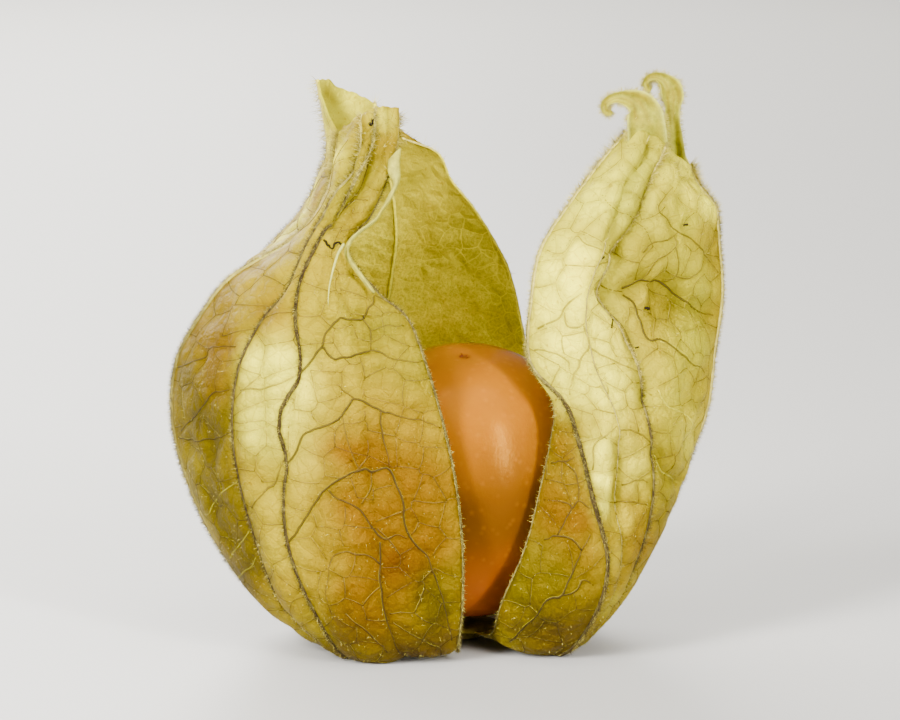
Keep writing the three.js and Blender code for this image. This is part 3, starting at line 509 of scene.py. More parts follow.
class Sheet:
    """A curved sheet over its ribs, as a grid of points in mm: rows from the disc to the tips."""

    def __init__(self, name, ribs, outward, patches, drawn, folds, seed):
        self.name = name
        self.ribs = ribs
        self.outward = outward
        self.seed = seed
        self.rng = random.Random(seed)
        self.lay_grid()
        self.face_camera()
        self.patches = [(self.seen_at(place), *rest) for place, *rest in patches]
        self.folds = [(*rest, self.path_of(places)) for *rest, places in folds]
        self.drawn = [(weight, self.path_of(places)) for weight, places in drawn]
        self.grow_net()
        self.crumple()
        self.paint()

    def face_camera(self):
        """A tree of the grid points whose outside is seen in the photograph, by their pixels."""
        rows, columns = np.nonzero(self.normal @ TOWARDS_CAMERA > 0.03)
        pixels = pixels_of(self.base[rows, columns])
        self.seen = np.column_stack([rows, columns])
        self.seen_tree = KDTree(len(rows))
        for n, (x, y) in enumerate(pixels):
            self.seen_tree.insert((x, y, 0), n)
        self.seen_tree.balance()

    def seen_at(self, place):
        """The grid point, as a row and a column, at a pixel of the photograph."""
        return self.seen[self.seen_tree.find((*place, 0))[1]]

    def path_of(self, places):
        """Rows and columns of a smooth line through pixels of the photograph."""
        knots = np.array([self.seen_at(place) for place in places], float)
        steps = int(np.linalg.norm(np.diff(knots, axis=0), axis=1).sum() / 1.2) + 4
        path = spline(knots, np.linspace(0, 1, steps))
        wander = np.column_stack([self.rng.uniform(-0.18, 0.18) * np.ones(steps) for _ in (0, 1)])
        flat_path = np.column_stack([path, np.zeros(steps)])
        wobble = [noise_at(flat_path, 7.0, s) + 0.4 * noise_at(flat_path, 2.5, s) for s in (1, 2)]
        path = path + wander + 0.9 * np.stack(wobble, -1)
        return path[:, 0], path[:, 1]

    def lay_grid(self):
        even = np.linspace(0, 1, 400)
        lines = np.array([spline(rib["points"], even) for rib in self.ribs])
        steps = np.linalg.norm(np.diff(lines, axis=1), axis=-1).mean(0)
        reach = np.concatenate([[0], np.cumsum(steps)])
        rows = int(reach[-1] / GRID_STEP)
        v = np.interp(np.linspace(0, reach[-1], rows + 1), reach, even)
        columns = []
        self.rib_column = [0]
        for first, second in zip(self.ribs, self.ribs[1:]):
            a = spline(first["points"], v)
            b = spline(second["points"], v)
            chord = b - a
            count = max(6, round(np.linalg.norm(chord, axis=-1).max() * 1.08 / GRID_STEP))
            bulge = np.interp(v, np.linspace(0, 1, len(first["panel"])), first["panel"]) * self.outward
            up_a = spline_direction(first["points"], v)
            up_b = spline_direction(second["points"], v)
            last = second is self.ribs[-1]
            for c in range(count + (1 if last else 0)):
                t = c / count
                up = unit(up_a * (1 - t) + up_b * t)
                rise = (4 * t * (1 - t) * bulge)[:, None]
                columns.append(a * (1 - t) + b * t + rise * np.cross(up, chord))
            self.rib_column.append(self.rib_column[-1] + count)
        self.v = v
        self.base = np.stack(columns, axis=1)
        up = unit(self.base[-1] - self.base[-10])
        torn = sum(depth * noise_at(self.base[-1], wave, self.seed) for depth, wave in RAGGED_ENDS)
        self.base += (smoothstep(0.93, 1.0, v)[:, None] * torn)[..., None] * up
        trims = np.interp(np.arange(len(torn)), self.rib_column, [rib.get("trim", 0) for rib in self.ribs])
        self.base -= (smoothstep(0.8, 1.0, v)[:, None] * trims)[..., None] * up
        self.normal = self.outward * grid_normals(self.base)

    def rib_columns(self, k):
        """The column of a rib at each row, which sways to and fro where the rib does."""
        sway = self.ribs[k].get("sway", ((0, 0),))
        return self.rib_column[k] + np.interp(self.v, *zip(*sway)) / GRID_STEP

    def at(self, grid, i, j):
        """Values of a grid at fractional rows i and columns j."""
        i = np.clip(np.asarray(i, float), 0, grid.shape[0] - 1.001)
        j = np.clip(np.asarray(j, float), 0, grid.shape[1] - 1.001)
        i0 = i.astype(int)
        j0 = j.astype(int)
        fi = (i - i0)[..., None]
        fj = (j - j0)[..., None]
        g = grid if grid.ndim == 3 else grid[..., None]
        low = g[i0, j0] * (1 - fj) + g[i0, j0 + 1] * fj
        high = g[i0 + 1, j0] * (1 - fj) + g[i0 + 1, j0 + 1] * fj
        return low * (1 - fi) + high * fi

    def grow_net(self):
        """Veins of every panel, each as rows, columns and a weight from 0, fine, to 1, strong."""
        self.veins = [(rows, columns, weight) for weight, (rows, columns) in self.drawn]
        for k in range(len(self.ribs) - 1):
            self.veins += grow_panel_net(self, k)

    def crumple(self):
        """Height of the sheet over its base: cells puffed up between the veins, and wrinkles."""
        rows, columns = self.base.shape[:2]
        flat = self.base.reshape(-1, 3)
        distance = []
        for least in (0.0, 0.5):
            samples = [self.at(self.base, i, j) for i, j, weight in self.veins if abs(weight) >= least]
            for k in range(len(self.ribs)):
                samples.append(self.at(self.base, np.arange(rows), self.rib_columns(k)))
            distance.append(nearest_distance(flat, np.concatenate(samples)))
        self.vein_distance = distance[0].reshape(rows, columns)
        height = sum(rise * (1 - bell(d / over)) for (rise, over), d in zip(QUILT_STEPS, distance))
        from_ribs = nearest_distance(flat, self.base[:, self.rib_column].reshape(-1, 3))
        free = smoothstep(0.2, 3.0, from_ribs)
        for octave, (rise, wavelength) in enumerate(WRINKLES):
            folds = 1 - 2 * np.abs(noise_at(flat, wavelength, self.seed + octave))
            height = height + rise * free * (folds - 0.5)
        pressed = np.zeros(len(flat))
        for depth, half_width, (i, j) in self.folds:
            near = nearest_distance(flat, self.at(self.base, i, j)) / half_width
            pressed = pressed + depth * bell(near)
        height = height - pressed
        least, further = MOST_RISE
        height = np.where(height > least, least + further * np.tanh((height - least) / further), height)
        self.pressed = pressed
        ends = smoothstep(0.03, 0.16, self.v) * (1 - 0.6 * smoothstep(0.9, 1.0, self.v))
        height = height.reshape(rows, columns) * ends[:, None]
        self.surface = self.base + self.normal * height[..., None]
        self.surface_normal = self.outward * grid_normals(self.surface)

    def paint(self):
        """Colour of each grid point, outside and inside, with painted highlight in the middles of the cells
        and painted shade in the folds.
        """
        points = self.base.reshape(-1, 3)
        blotch = noise_at(points, 5.0, self.seed + 20)
        streaks = noise_at(points, 1.2, self.seed + 22)
        share = np.clip(0.45 + 0.6 * blotch + 0.25 * streaks, 0, 1)
        colour = mixed(STRAW, GOLD, share[:, None])
        uneven = 1 + 0.6 * noise_at(points, 2.0, self.seed + 21)
        for (row, column), radius, patch, strength in self.patches:
            away = np.linalg.norm(points - self.base[row, column], axis=1) / radius
            share = np.clip(strength * bell(away) * uneven, 0, 1)
            colour = mixed(colour, patch, share[:, None])
        foot = np.clip(np.exp(-points[:, 2] / 1.6) * 0.8, 0, 1)
        colour = mixed(colour, BROWN, foot[:, None])
        near_vein = bell(self.vein_distance.reshape(-1) / 0.14)[:, None]
        deep = 1 - smoothstep(12, 24, points[:, 2])[:, None]
        inside = mixed(INSIDE_GOLD, INSIDE_DEEP, deep)
        inside = colour * 0.15 + inside * 0.85
        inside = inside * (1 + 0.3 * blotch[:, None])
        for centre, radius, patch, strength in INSIDE_PATCHES:
            away = np.linalg.norm(points - np.array(centre), axis=1) / radius
            inside = mixed(inside, patch, (strength * bell(away))[:, None])
        # Painted highlight: each cell is lighter towards its middle, where it puffs out.
        cell_highlight = smoothstep(0.05, 0.5, self.vein_distance.reshape(-1))[:, None]
        colour = colour * (0.9 + 0.16 * cell_highlight)
        # Darker along the veins, and painted shade in the folds.
        colour = colour * (1 - near_vein * (0.16, 0.19, 0.5)) * (1 - FOLD_PAINTED_SHADE * self.pressed[:, None])
        self.outside_paint = colour.reshape(self.base.shape)
        self.inside_paint = inside.reshape(self.base.shape)


def nearest_distance(points, targets):
    tree = KDTree(len(targets))
    for i, p in enumerate(targets):
        tree.insert(p, i)
    tree.balance()
    return np.array([tree.find(p)[2] for p in points])


# The net of veins. A panel is unrolled into the plane, x across it in mm and y along it, cells
# are grown there round scattered seeds, and the walls between cells are the veins. Strong veins
# are the shortest ways along those walls from a rib up to the middle of the panel.
STRONG_VEIN_SPACING = 6.0
VEIN_WAVE = 0.08  # mm, sideways wander of a vein
CLEAR_OF_DRAWN = 0.17  # share of a cell within which a wall along a drawn vein is left out
STRONG_WEIGHT = 0.8  # of a grown strong vein
FINE_WEIGHT = 0.35  # the most that a grown fine vein gets
VEIN_STEP = 0.3  # mm between the points of a vein
LEAST_WALL = 0.05  # mm, below which a wall gets no vein
TRIES_PER_CELL = 30


def grow_panel_net(sheet, k):
    start, end = sheet.rib_column[k], sheet.rib_column[k + 1]
    cell = sheet.ribs[k]["cell"]
    part = sheet.base[:, start : end + 1]
    width = np.linalg.norm(np.diff(part, axis=1), axis=-1).sum(1)
    along = np.concatenate([[0], np.cumsum(np.linalg.norm(np.diff(part, axis=0), axis=-1).mean(1))])
    first = int(NET_REACH[0] * (len(along) - 1))
    last = int(NET_REACH[1] * (len(along) - 1))

    def half(y):
        return np.interp(y, along, width) / 2

    seeds = scatter_seeds(sheet.rng, cell, along[first], along[last], half)
    if len(seeds) < 4:
        return []
    edges = cell_walls(seeds, along[first], along[last], half)
    # Panels that the photograph shows have their strong veins drawn instead.
    seen = (sheet.normal[len(along) // 2, start : end + 1] @ TOWARDS_CAMERA).mean() > 0.2
    paths = [] if seen else strong_paths(sheet.rng, edges, along[first], along[last], half)
    strong = {wall for path in paths for wall in zip(path, path[1:])}
    strong |= {(b, a) for a, b in strong}
    moved = relaxed(paths)
    veins = []
    drawn = np.concatenate([sheet.at(sheet.base, i, j) for _, (i, j) in sheet.drawn])
    for a, b in edges:
        weight = STRONG_WEIGHT if (a, b) in strong else sheet.rng.uniform(0.0, FINE_WEIGHT)
        a = moved.get(a, a)
        b = moved.get(b, b)
        length = math.dist(a, b)
        if length < LEAST_WALL:
            continue
        steps = max(2, round(length / VEIN_STEP))
        s = np.linspace(0, 1, steps + 1)
        wave = VEIN_WAVE * sheet.rng.uniform(-1.5, 1.5) * np.sin(np.pi * s)
        side = np.array([a[1] - b[1], b[0] - a[0]]) / length
        x = a[0] + (b[0] - a[0]) * s + wave * side[0]
        y = a[1] + (b[1] - a[1]) * s + wave * side[1]
        rows = np.interp(y, along, np.arange(len(along)))
        columns = start + (end - start) * np.clip(x / (2 * half(y)) + 0.5, 0, 1)
        away = sheet.at(sheet.base, rows, columns)[:, None] - drawn[None]
        if np.linalg.norm(away, axis=-1).min(1).mean() > CLEAR_OF_DRAWN * cell:
            veins.append((rows, columns, weight))
    return veins


def scatter_seeds(rng, cell, low, high, half):
    """Points at least about a cell apart, in the unrolled panel."""
    seeds = []
    area = sum(2 * half(y) for y in np.linspace(low, high, 60)) * (high - low) / 60
    for _ in range(int(area / cell**2 * TRIES_PER_CELL)):
        y = rng.uniform(low, high)
        x = rng.uniform(-1, 1) * half(y)
        apart = cell * rng.uniform(0.62, 1.05)
        if half(y) - abs(x) < 0.2 * cell:
            continue
        if all((x - p[0]) ** 2 + (y - p[1]) ** 2 > apart**2 for p in seeds):
            seeds.append((x, y))
    return seeds


def cell_walls(seeds, low, high, half):
    """Walls between the cells round the seeds, cut off at the panel's ribs. Seeds mirrored in the
    ribs and ends make the walls meet them squarely."""
    mirrored = []
    for x, y in seeds:
        mirrored += [(2 * half(y) - x, y), (-2 * half(y) - x, y), (x, 2 * low - y), (x, 2 * high - y)]
    points = [Vector(p) for p in seeds + mirrored]
    verts, _, faces = delaunay_2d_cdt(points, [], [], 0, 1e-6)[:3]
    centres = [circle_centre(*[verts[i] for i in face]) for face in faces]
    sides = {}
    for n, face in enumerate(faces):
        for a, b in zip(face, [*face[1:], face[0]]):
            sides.setdefault(frozenset((a, b)), []).append(n)
    edges = set()
    for pair in sides.values():
        if len(pair) != 2:
            continue
        a, b = centres[pair[0]], centres[pair[1]]
        if a is None or b is None:
            continue
        ends = clip_to_panel(a, b, low, high, half)
        if ends:
            edges.add(ends)
    return sorted(edges)


def circle_centre(a, b, c):
    """Centre of the circle through three points, rounded so that shared ones are equal."""
    d = 2 * (a.x * (b.y - c.y) + b.x * (c.y - a.y) + c.x * (a.y - b.y))
    if abs(d) < 1e-9:
        return None
    aa, bb, cc = a.length_squared, b.length_squared, c.length_squared
    x = (aa * (b.y - c.y) + bb * (c.y - a.y) + cc * (a.y - b.y)) / d
    y = (aa * (c.x - b.x) + bb * (a.x - c.x) + cc * (b.x - a.x)) / d
    return (round(x, 4), round(y, 4))


def clip_to_panel(a, b, low, high, half):
    """The stretch of a wall inside the panel, as two ends, or None. A wall along a rib is dropped."""

    def inside(p):
        return abs(p[0]) <= half(p[1]) - 0.03 and low <= p[1] <= high

    if inside(a) and inside(b):
        return (a, b)
    if not inside(a) and not inside(b):
        return None
    kept, lost = (a, b) if inside(a) else (b, a)
    near, far = 0.0, 1.0
    for _ in range(20):
        middle = (near + far) / 2
        p = [kept[i] + (lost[i] - kept[i]) * middle for i in (0, 1)]
        if inside(p):
            near = middle
        else:
            far = middle
    return (kept, tuple(round(kept[i] + (lost[i] - kept[i]) * near, 4) for i in (0, 1)))


def relaxed(paths):
    """Where the corners on the paths go, so that the paths are smooth."""
    moved = {node: node for path in paths for node in path}
    for _ in range(4):
        for path in paths:
            for before, node, after in zip(path, path[1:], path[2:]):
                a, b, c = moved[before], moved[node], moved[after]
                moved[node] = tuple(0.5 * b[i] + 0.25 * (a[i] + c[i]) for i in (0, 1))
    return moved


def strong_paths(rng, edges, low, high, half):
    """The ways along the walls that carry strong veins, each a list of corners."""
    ways = {}
    for a, b in edges:
        cost = math.dist(a, b) * rng.uniform(0.8, 1.3)
        ways.setdefault(a, []).append((b, cost))
        ways.setdefault(b, []).append((a, cost))
    nodes = sorted(ways)
    paths = []
    tops = {}
    for side in (-1, 1):
        y = low + rng.uniform(0.2, 0.8) * STRONG_VEIN_SPACING
        while y < high - 2:
            width = 2 * half(y)
            if width > 2.5:
                bottom = closest(nodes, (side * half(y), y))
                rise = 0.45 * width * rng.uniform(0.7, 1.3)
                top = closest(nodes, (side * 0.08 * width, min(y + rise, high)))
                paths.append(shortest_way(ways, bottom, top))
                tops.setdefault(side, []).append(top)
            y += STRONG_VEIN_SPACING * rng.uniform(0.75, 1.25)
    ladder = sorted([*tops.get(-1, []), *tops.get(1, [])], key=lambda p: p[1])
    for a, b in zip(ladder, ladder[1:]):
        paths.append(shortest_way(ways, a, b))
    return paths


def closest(nodes, point):
    return min(nodes, key=lambda p: math.dist(p, point))


def shortest_way(ways, start, goal):
    """The corners on the shortest way from start to goal."""
    best = {start: 0.0}
    before = {}
    queue = [(0.0, start)]
    while queue:
        cost, node = heapq.heappop(queue)
        if node == goal:
            break
        for other, step in ways[node]:
            if cost + step < best.get(other, math.inf):
                best[other] = cost + step
                before[other] = node
                heapq.heappush(queue, (cost + step, other))
    path = [goal]
    while path[-1] in before:
        path.append(before[path[-1]])
    return path


class MeshMaker:
    """Collects points, faces and a colour for each point, and makes one object of them."""

    def __init__(self):
        self.points = []
        self.faces = []
        self.colours = []
        self.inner = []
        self.count = 0

    def add(self, points, faces, colours, inner=0.0):
        """inner is 1 for points on the inside of a sheet, and -1 where the fine net is strong outside."""
        self.points.append(points)
        self.inner.append(np.broadcast_to(inner, len(points)))
        self.faces.append([tuple(int(i) + self.count for i in face) for face in faces])
        self.colours.append(np.broadcast_to(colours, (len(points), 3)))
        self.count += len(points)

    def make(self, name, material, smooth=True):
        mesh = bpy.data.meshes.new(name)
        mesh.from_pydata(placed(np.concatenate(self.points)), [], [f for group in self.faces for f in group])
        paint = mesh.color_attributes.new("paint", "FLOAT_COLOR", "POINT")
        rgb = np.concatenate(self.colours)
        paint.data.foreach_set("color", np.column_stack([rgb, np.ones(len(rgb))]).astype(np.float32).ravel())
        inner = mesh.attributes.new("inner", "FLOAT", "POINT")
        inner.data.foreach_set("value", np.concatenate(self.inner).astype(np.float32))
        if smooth:
            mesh.shade_smooth()
        else:
            mesh.shade_flat()
        mesh.materials.append(material)
        ob = bpy.data.objects.new(name, mesh)
        bpy.context.scene.collection.objects.link(ob)
        return ob


def ring_faces(rings, around):
    """Faces between rings of points, each ring as many points as around."""
    at = np.arange(rings * around).reshape(rings, around)
    beside = np.roll(at, -1, 1)
    return np.stack([at[:-1], beside[:-1], beside[1:], at[1:]], -1).reshape(-1, 4).tolist()


def slab_faces(rows, columns, flipped=False):
    """Faces of a grid of points in front, of one behind it, and of the wall round their rim."""
    count = rows * columns
    at = np.arange(count).reshape(rows, columns)
    quads = np.stack([at[:-1, :-1], at[:-1, 1:], at[1:, 1:], at[1:, :-1]], -1).reshape(-1, 4)
    rim = np.concatenate([at[0, :-1], at[:-1, -1], at[-1, :0:-1], at[:0:-1, 0]])
    following = np.roll(rim, -1)
    wall = np.stack([following, rim, rim + count, following + count], -1)
    faces = np.concatenate([quads, quads[:, ::-1] + count, wall])
    return (faces[:, ::-1] if flipped else faces).tolist()


def tube(points, ups, radii, sides):
    """A closed tube along points: its points, its faces, and how far each is turned to up (-1 to 1)."""
    forward = unit(np.gradient(points, axis=0))
    across = unit(np.cross(forward, ups))
    up = np.cross(across, forward)
    angles = 2 * np.pi * np.arange(sides) / sides
    radii = np.broadcast_to(radii, len(points))[:, None, None]
    cosine = np.cos(angles)[None, :, None]
    sine = np.sin(angles)[None, :, None]
    rings = points[:, None] + radii * (cosine * across[:, None] + sine * up[:, None])
    faces = ring_faces(len(points), sides)
    end = (len(points) - 1) * sides
    faces.append(tuple(reversed(range(sides))))
    faces.append(tuple(end + k for k in range(sides)))
    return rings.reshape(-1, 3), faces, np.tile(np.sin(angles), len(points))


def spike(root, direction, length, radius):
    """A thin three-sided hair."""
    direction = direction / np.linalg.norm(direction)
    side = np.cross(direction, (0.31, 0.57, 0.76))
    side /= np.linalg.norm(side)
    other = np.cross(direction, side)
    ring = [root + radius * (math.cos(a) * side + math.sin(a) * other) for a in (0, 2.09, 4.19)]
    return np.array([*ring, root + direction * length]), [(0, 1, 3), (1, 2, 3), (2, 0, 3), (2, 1, 0)]


# Materials
NET_SHADE = (0.55, 0.50, 0.35, 1.0)
SPECK_SHADE = (0.45, 0.30, 0.15, 1.0)
NET_BEND = 0.0005  # m, how far the fine net's lines are bent
SHEET_SHINE = (1.0, 0.84, 0.04, 1.0)
BERRY_SHINE = (1.0, 0.50, 0.07, 1.0)
BERRY_DOTS = linear("#f0a23a")
FLOOR_GREY = (0.36, 0.355, 0.34, 1.0)


class Shader:
    """A new material for painted meshes, with short ways to add nodes."""

    def __init__(self, name):
        self.material = bpy.data.materials.new(name)
        self.material.use_nodes = True
        self.material.node_tree.nodes.clear()
        self.paint = self.node("Attribute", attribute_name="paint").outputs["Color"]
        self.place = self.node("TexCoord").outputs["Object"]

    def feed(self, socket, value):
        """Links a socket to another one, or sets its value."""
        if isinstance(value, bpy.types.NodeSocket):
            self.material.node_tree.links.new(value, socket)
        else:
            socket.default_value = value

    def node(self, kind, **settings):
        """A node with its properties and, with _ for each space, its inputs."""
        made = self.material.node_tree.nodes.new("ShaderNode" + kind)
        for key, value in settings.items():
            if hasattr(made, key):
                setattr(made, key, value)
            else:
                self.feed(made.inputs[key.replace("_", " ")], value)
        return made

    def result(self, kind, *values, **settings):
        """The first output of a node whose inputs get the values, in order."""
        made = self.node(kind, **settings)
        for socket, value in zip(made.inputs, values):
            self.feed(socket, value)
        return made.outputs[0]

    def blend(self, blend_type, factor, a, b):
        """A colour mix, where factor, a and b are each a socket or a value."""
        mix = self.node("Mix", data_type="RGBA", blend_type=blend_type)
        for socket, value in ((mix.inputs[0], factor), (mix.inputs[6], a), (mix.inputs[7], b)):
            self.feed(socket, value)
        return mix.outputs[2]

    def ramp(self, value, low, high, start=0.0, end=1.0):
        """Value mapped from low..high to start..end, clamped."""
        return self.result("MapRange", value, low, high, start, end)

    def shaded(self, colour, value, *limits):
        """A colour made darker or lighter by a value, mapped as in ramp."""
        shade = self.ramp(value, *limits)
        return self.blend("MULTIPLY", 1.0, colour, self.result("CombineColor", shade, shade, shade))

    def noise(self, scale, detail, **settings):
        made = self.node("TexNoise", Vector=self.place, Scale=scale, Detail=detail, **settings)
        return made.outputs["Fac"]

    def bumps(self, strength, distance, height):
        bump = self.node("Bump", Strength=strength, Distance=distance, Height=height)
        return bump.outputs["Normal"]

    def finished(self, skin, see_through=0.0, **light_through):
        """The material, with a share see_through of its light coming from behind."""
        surface = skin.outputs[0]
        if see_through:
            through = self.node("BsdfTranslucent", **light_through)
            surface = self.result("MixShader", see_through, surface, through.outputs[0])
        self.node("OutputMaterial", Surface=surface)
        return self.material


def sheet_material(name, see_through):
    """Dry papery membrane: painted colour, a fine net, specks and mottling, and light through it."""
    shader = Shader(name)
    inner = shader.node("Attribute", attribute_name="inner").outputs["Fac"]
    bend = shader.node("TexNoise", Vector=shader.place, Scale=700.0, Detail=1.0).outputs["Color"]
    bent = shader.result("VectorMath", bend, (NET_BEND,) * 3, shader.place, operation="MULTIPLY_ADD")
    net = shader.node("TexVoronoi", feature="DISTANCE_TO_EDGE", Vector=bent, Scale=860.0, Randomness=0.85)
    from_line = net.outputs["Distance"]
    line = shader.ramp(from_line, 0.0, 0.05, 1.0, 0.0)
    inner_line = shader.ramp(from_line, 0.012, 0.045, 0.8, 0.0)
    outer_strength = shader.ramp(inner, -1.0, 0.0, 1.0, 0.5)
    outer_line = shader.result("Math", line, outer_strength, operation="MULTIPLY")
    grain = shader.noise(5200.0, 3.0, Roughness=0.7)
    speck = shader.ramp(shader.noise(2600.0, 1.0), 0.70, 0.76, 0.0, 0.5)
    colour = shader.shaded(shader.paint, shader.noise(420.0, 4.0, Roughness=0.6), 0.3, 0.7, 0.80, 1.15)
    netted = shader.blend("MULTIPLY", outer_line, colour, NET_SHADE)
    cells = shader.shaded(colour, grain, 0.35, 0.65, 0.62, 1.2)
    inner_net = shader.blend("MIX", inner_line, cells, (*VEIN_INSIDE, 1.0))
    both = shader.blend("MIX", inner, netted, inner_net)
    specked = shader.blend("MULTIPLY", speck, both, SPECK_SHADE)

    crinkle = shader.noise(1300.0, 5.0, Roughness=0.65, Distortion=0.6)
    rise = shader.result("Math", crinkle, 2.2, grain, operation="MULTIPLY_ADD")
    dome = shader.ramp(from_line, 0.0, 0.35)
    height = shader.result("Math", dome, 1.1, rise, operation="MULTIPLY_ADD")
    normal = shader.bumps(0.9, 0.0001, height)
    skin = shader.node(
        "BsdfPrincipled", Base_Color=specked, Normal=normal, Roughness=0.38, IOR=1.45,
        Specular_IOR_Level=0.262, Specular_Tint=SHEET_SHINE,
    )
    # Light goes through two faces, so each takes half of the colour out of it.
    half_colour = shader.result("Gamma", specked, 0.5)
    return shader.finished(skin, see_through, Color=half_colour, Normal=normal)


def painted_material(name, roughness, grain_scale, grain_depth, see_through=0.0):
    """A painted surface with a fine grain, for all the husk's other pieces and the berry's scar."""
    shader = Shader(name)
    grain = shader.noise(grain_scale, 4.0, Roughness=0.7)
    colour = shader.shaded(shader.paint, grain, 0.3, 0.7, 0.65, 1.3)
    skin = shader.node(
        "BsdfPrincipled", Base_Color=colour, Normal=shader.bumps(0.8, grain_depth, grain),
        Roughness=roughness, Specular_IOR_Level=0.12,
    )
    return shader.finished(skin, see_through, Color=colour)


def berry_material():
    """Waxy orange skin with flesh under it, pale dots and pores."""
    shader = Shader("berry_skin")
    colour = shader.shaded(shader.paint, shader.noise(260.0, 3.0), 0.3, 0.7, 0.88, 1.1)
    dots = shader.node("TexVoronoi", feature="F1", Vector=shader.place, Scale=1500.0)
    dot = shader.ramp(dots.outputs["Distance"], 0.0, 0.35, 0.04, 0.0)
    dotted = shader.blend("MIX", dot, colour, (*BERRY_DOTS, 1.0))
    skin = shader.node(
        "BsdfPrincipled", Base_Color=dotted, Normal=shader.bumps(0.4, 0.00004, shader.noise(3800.0, 2.0)),
        Roughness=0.25, IOR=1.4, Subsurface_Weight=0.12, Subsurface_Radius=(1.0, 0.32, 0.08),
        Subsurface_Scale=0.0022, Specular_IOR_Level=0.22, Specular_Tint=BERRY_SHINE,
    )
    return shader.finished(skin)


def floor_material():
    material = bpy.data.materials.new("pale_floor")
    material.use_nodes = True
    skin = material.node_tree.nodes["Principled BSDF"]
    skin.inputs["Base Color"].default_value = FLOOR_GREY
    skin.inputs["Roughness"].default_value = 0.55
    return material


# Husk pieces. How low they come, in mm over the floor.
LEAST_OUTSIDE = 0.02
LEAST_INSIDE = 0.12
LEAST_RIB = 0.01
LEAST_HAIR = 0.06


def make_sheet(sheet, material):
    rows, columns = sheet.base.shape[:2]
    offset = sheet.surface_normal * (SHEET_THICKNESS / 2)
    outer = (sheet.surface + offset).reshape(-1, 3)
    inner = (sheet.surface - offset).reshape(-1, 3)
    outer[:, 2] = np.maximum(outer[:, 2], LEAST_OUTSIDE)
    inner[:, 2] = np.maximum(inner[:, 2], LEAST_INSIDE)
    colours = np.concatenate([sheet.outside_paint.reshape(-1, 3), sheet.inside_paint.reshape(-1, 3)])
    netted = [j for k, rib in enumerate(sheet.ribs[:-1]) if rib.get("inner")
              for j in range(sheet.rib_column[k], sheet.rib_column[k + 1])]
    within = np.zeros((2, rows, columns))
    within[0, :, netted] = -1
    within[1] = 1 - 0.8 * smoothstep(25.0, 31.0, sheet.base[..., 2])
    maker = MeshMaker()
    faces = slab_faces(rows, columns, sheet.outward > 0)
    maker.add(np.concatenate([outer, inner]), faces, colours, within.ravel())
    return maker.make(f"husk_{sheet.name}", material)


INNER_NET_HEIGHT = 19.0  # mm, above which the inner panels have only the net in the sheet


def vein_colour(sheet, rows, columns, side, weight):
    """Outside, veins are darker than the sheet round them, or paler, and inside they are paler."""
    sides = len(side) // len(rows)
    outside = np.repeat(sheet.at(sheet.outside_paint, rows, columns), sides, axis=0)
    inside = np.repeat(sheet.at(sheet.inside_paint, rows, columns), sides, axis=0)
    share = np.repeat(0.15 + 0.65 * np.abs(weight), sides)[:, None]
    if weight.max() > 0:
        outside = outside * (0.7, 0.66, 0.6)
        outside = mixed(outside, VEIN_DARK, share)
    else:
        outside = mixed(outside, CREAM * 0.5, share)
    inside = mixed(inside, VEIN_INSIDE, 0.5 + 0.4 * share)
    return mixed(inside, outside, smoothstep(-0.3, 0.3, side)[:, None])


def make_veins(sheet, material):
    """The veins as tubes along the sheet. They stand out inside too where the sheet's inside is seen."""
    maker = MeshMaker()
    for i, j, weight in sheet.veins:
        points = sheet.at(sheet.surface, i, j)
        ups = unit(sheet.at(sheet.surface_normal, i, j))
        neck = 1 - 0.45 * smoothstep(0.7, 0.95, np.interp(i, np.arange(len(sheet.v)), sheet.v))
        fading = smoothstep(0.6, 1.0, np.linspace(0, 1, len(points))) * (abs(weight) > 0.45)
        weights = weight * (1 - 0.7 * fading)
        strength = np.abs(weights)
        rough = 1 + 0.2 * noise_at(points, 0.6, 3)
        radius = (0.05 + 0.035 * strength) * (1.0 if weight > 0 else 0.7) * neck * rough
        panel = np.searchsorted(sheet.rib_column, j.mean()) - 1
        if sheet.ribs[panel].get("inner"):
            if abs(weight) < 0.45 or points[:, 2].max() > INNER_NET_HEIGHT:
                continue
            radius = (0.075 + 0.02 * strength) * rough
            weights = 0.6 * weights
            points = points - ups * 0.02
        else:
            points = points + ups * (0.01 + 0.02 * strength[:, None])
        body, faces, side = tube(points, ups, radius, 6 if abs(weight) < 0.5 else 8)
        body[:, 2] = np.maximum(body[:, 2], LEAST_OUTSIDE)
        maker.add(body, faces, vein_colour(sheet, i, j, side, weights))
    return maker.make(f"veins_{sheet.name}", material)


def rib_path(sheet, k):
    rows = np.arange(sheet.base.shape[0])
    columns = sheet.rib_columns(k)
    points = sheet.at(sheet.surface, rows, columns)
    ups = unit(sheet.at(sheet.normal, rows, columns))
    v = sheet.v
    swell = smoothstep(0.0, 0.2, v) * (1 - 0.55 * smoothstep(0.55, 1.0, v))
    radii = sheet.ribs[k]["radius"] * (0.45 + 0.55 * swell)
    return points, ups, radii, v


def darkness(rib, v):
    """How brown a rib is at the shares v of its length."""
    pale_from = rib.get("pale_from", 0.75)
    return rib["dark"] * (1 - 0.85 * smoothstep(pale_from, pale_from + 0.25, v))


RIB_SIDES = 8


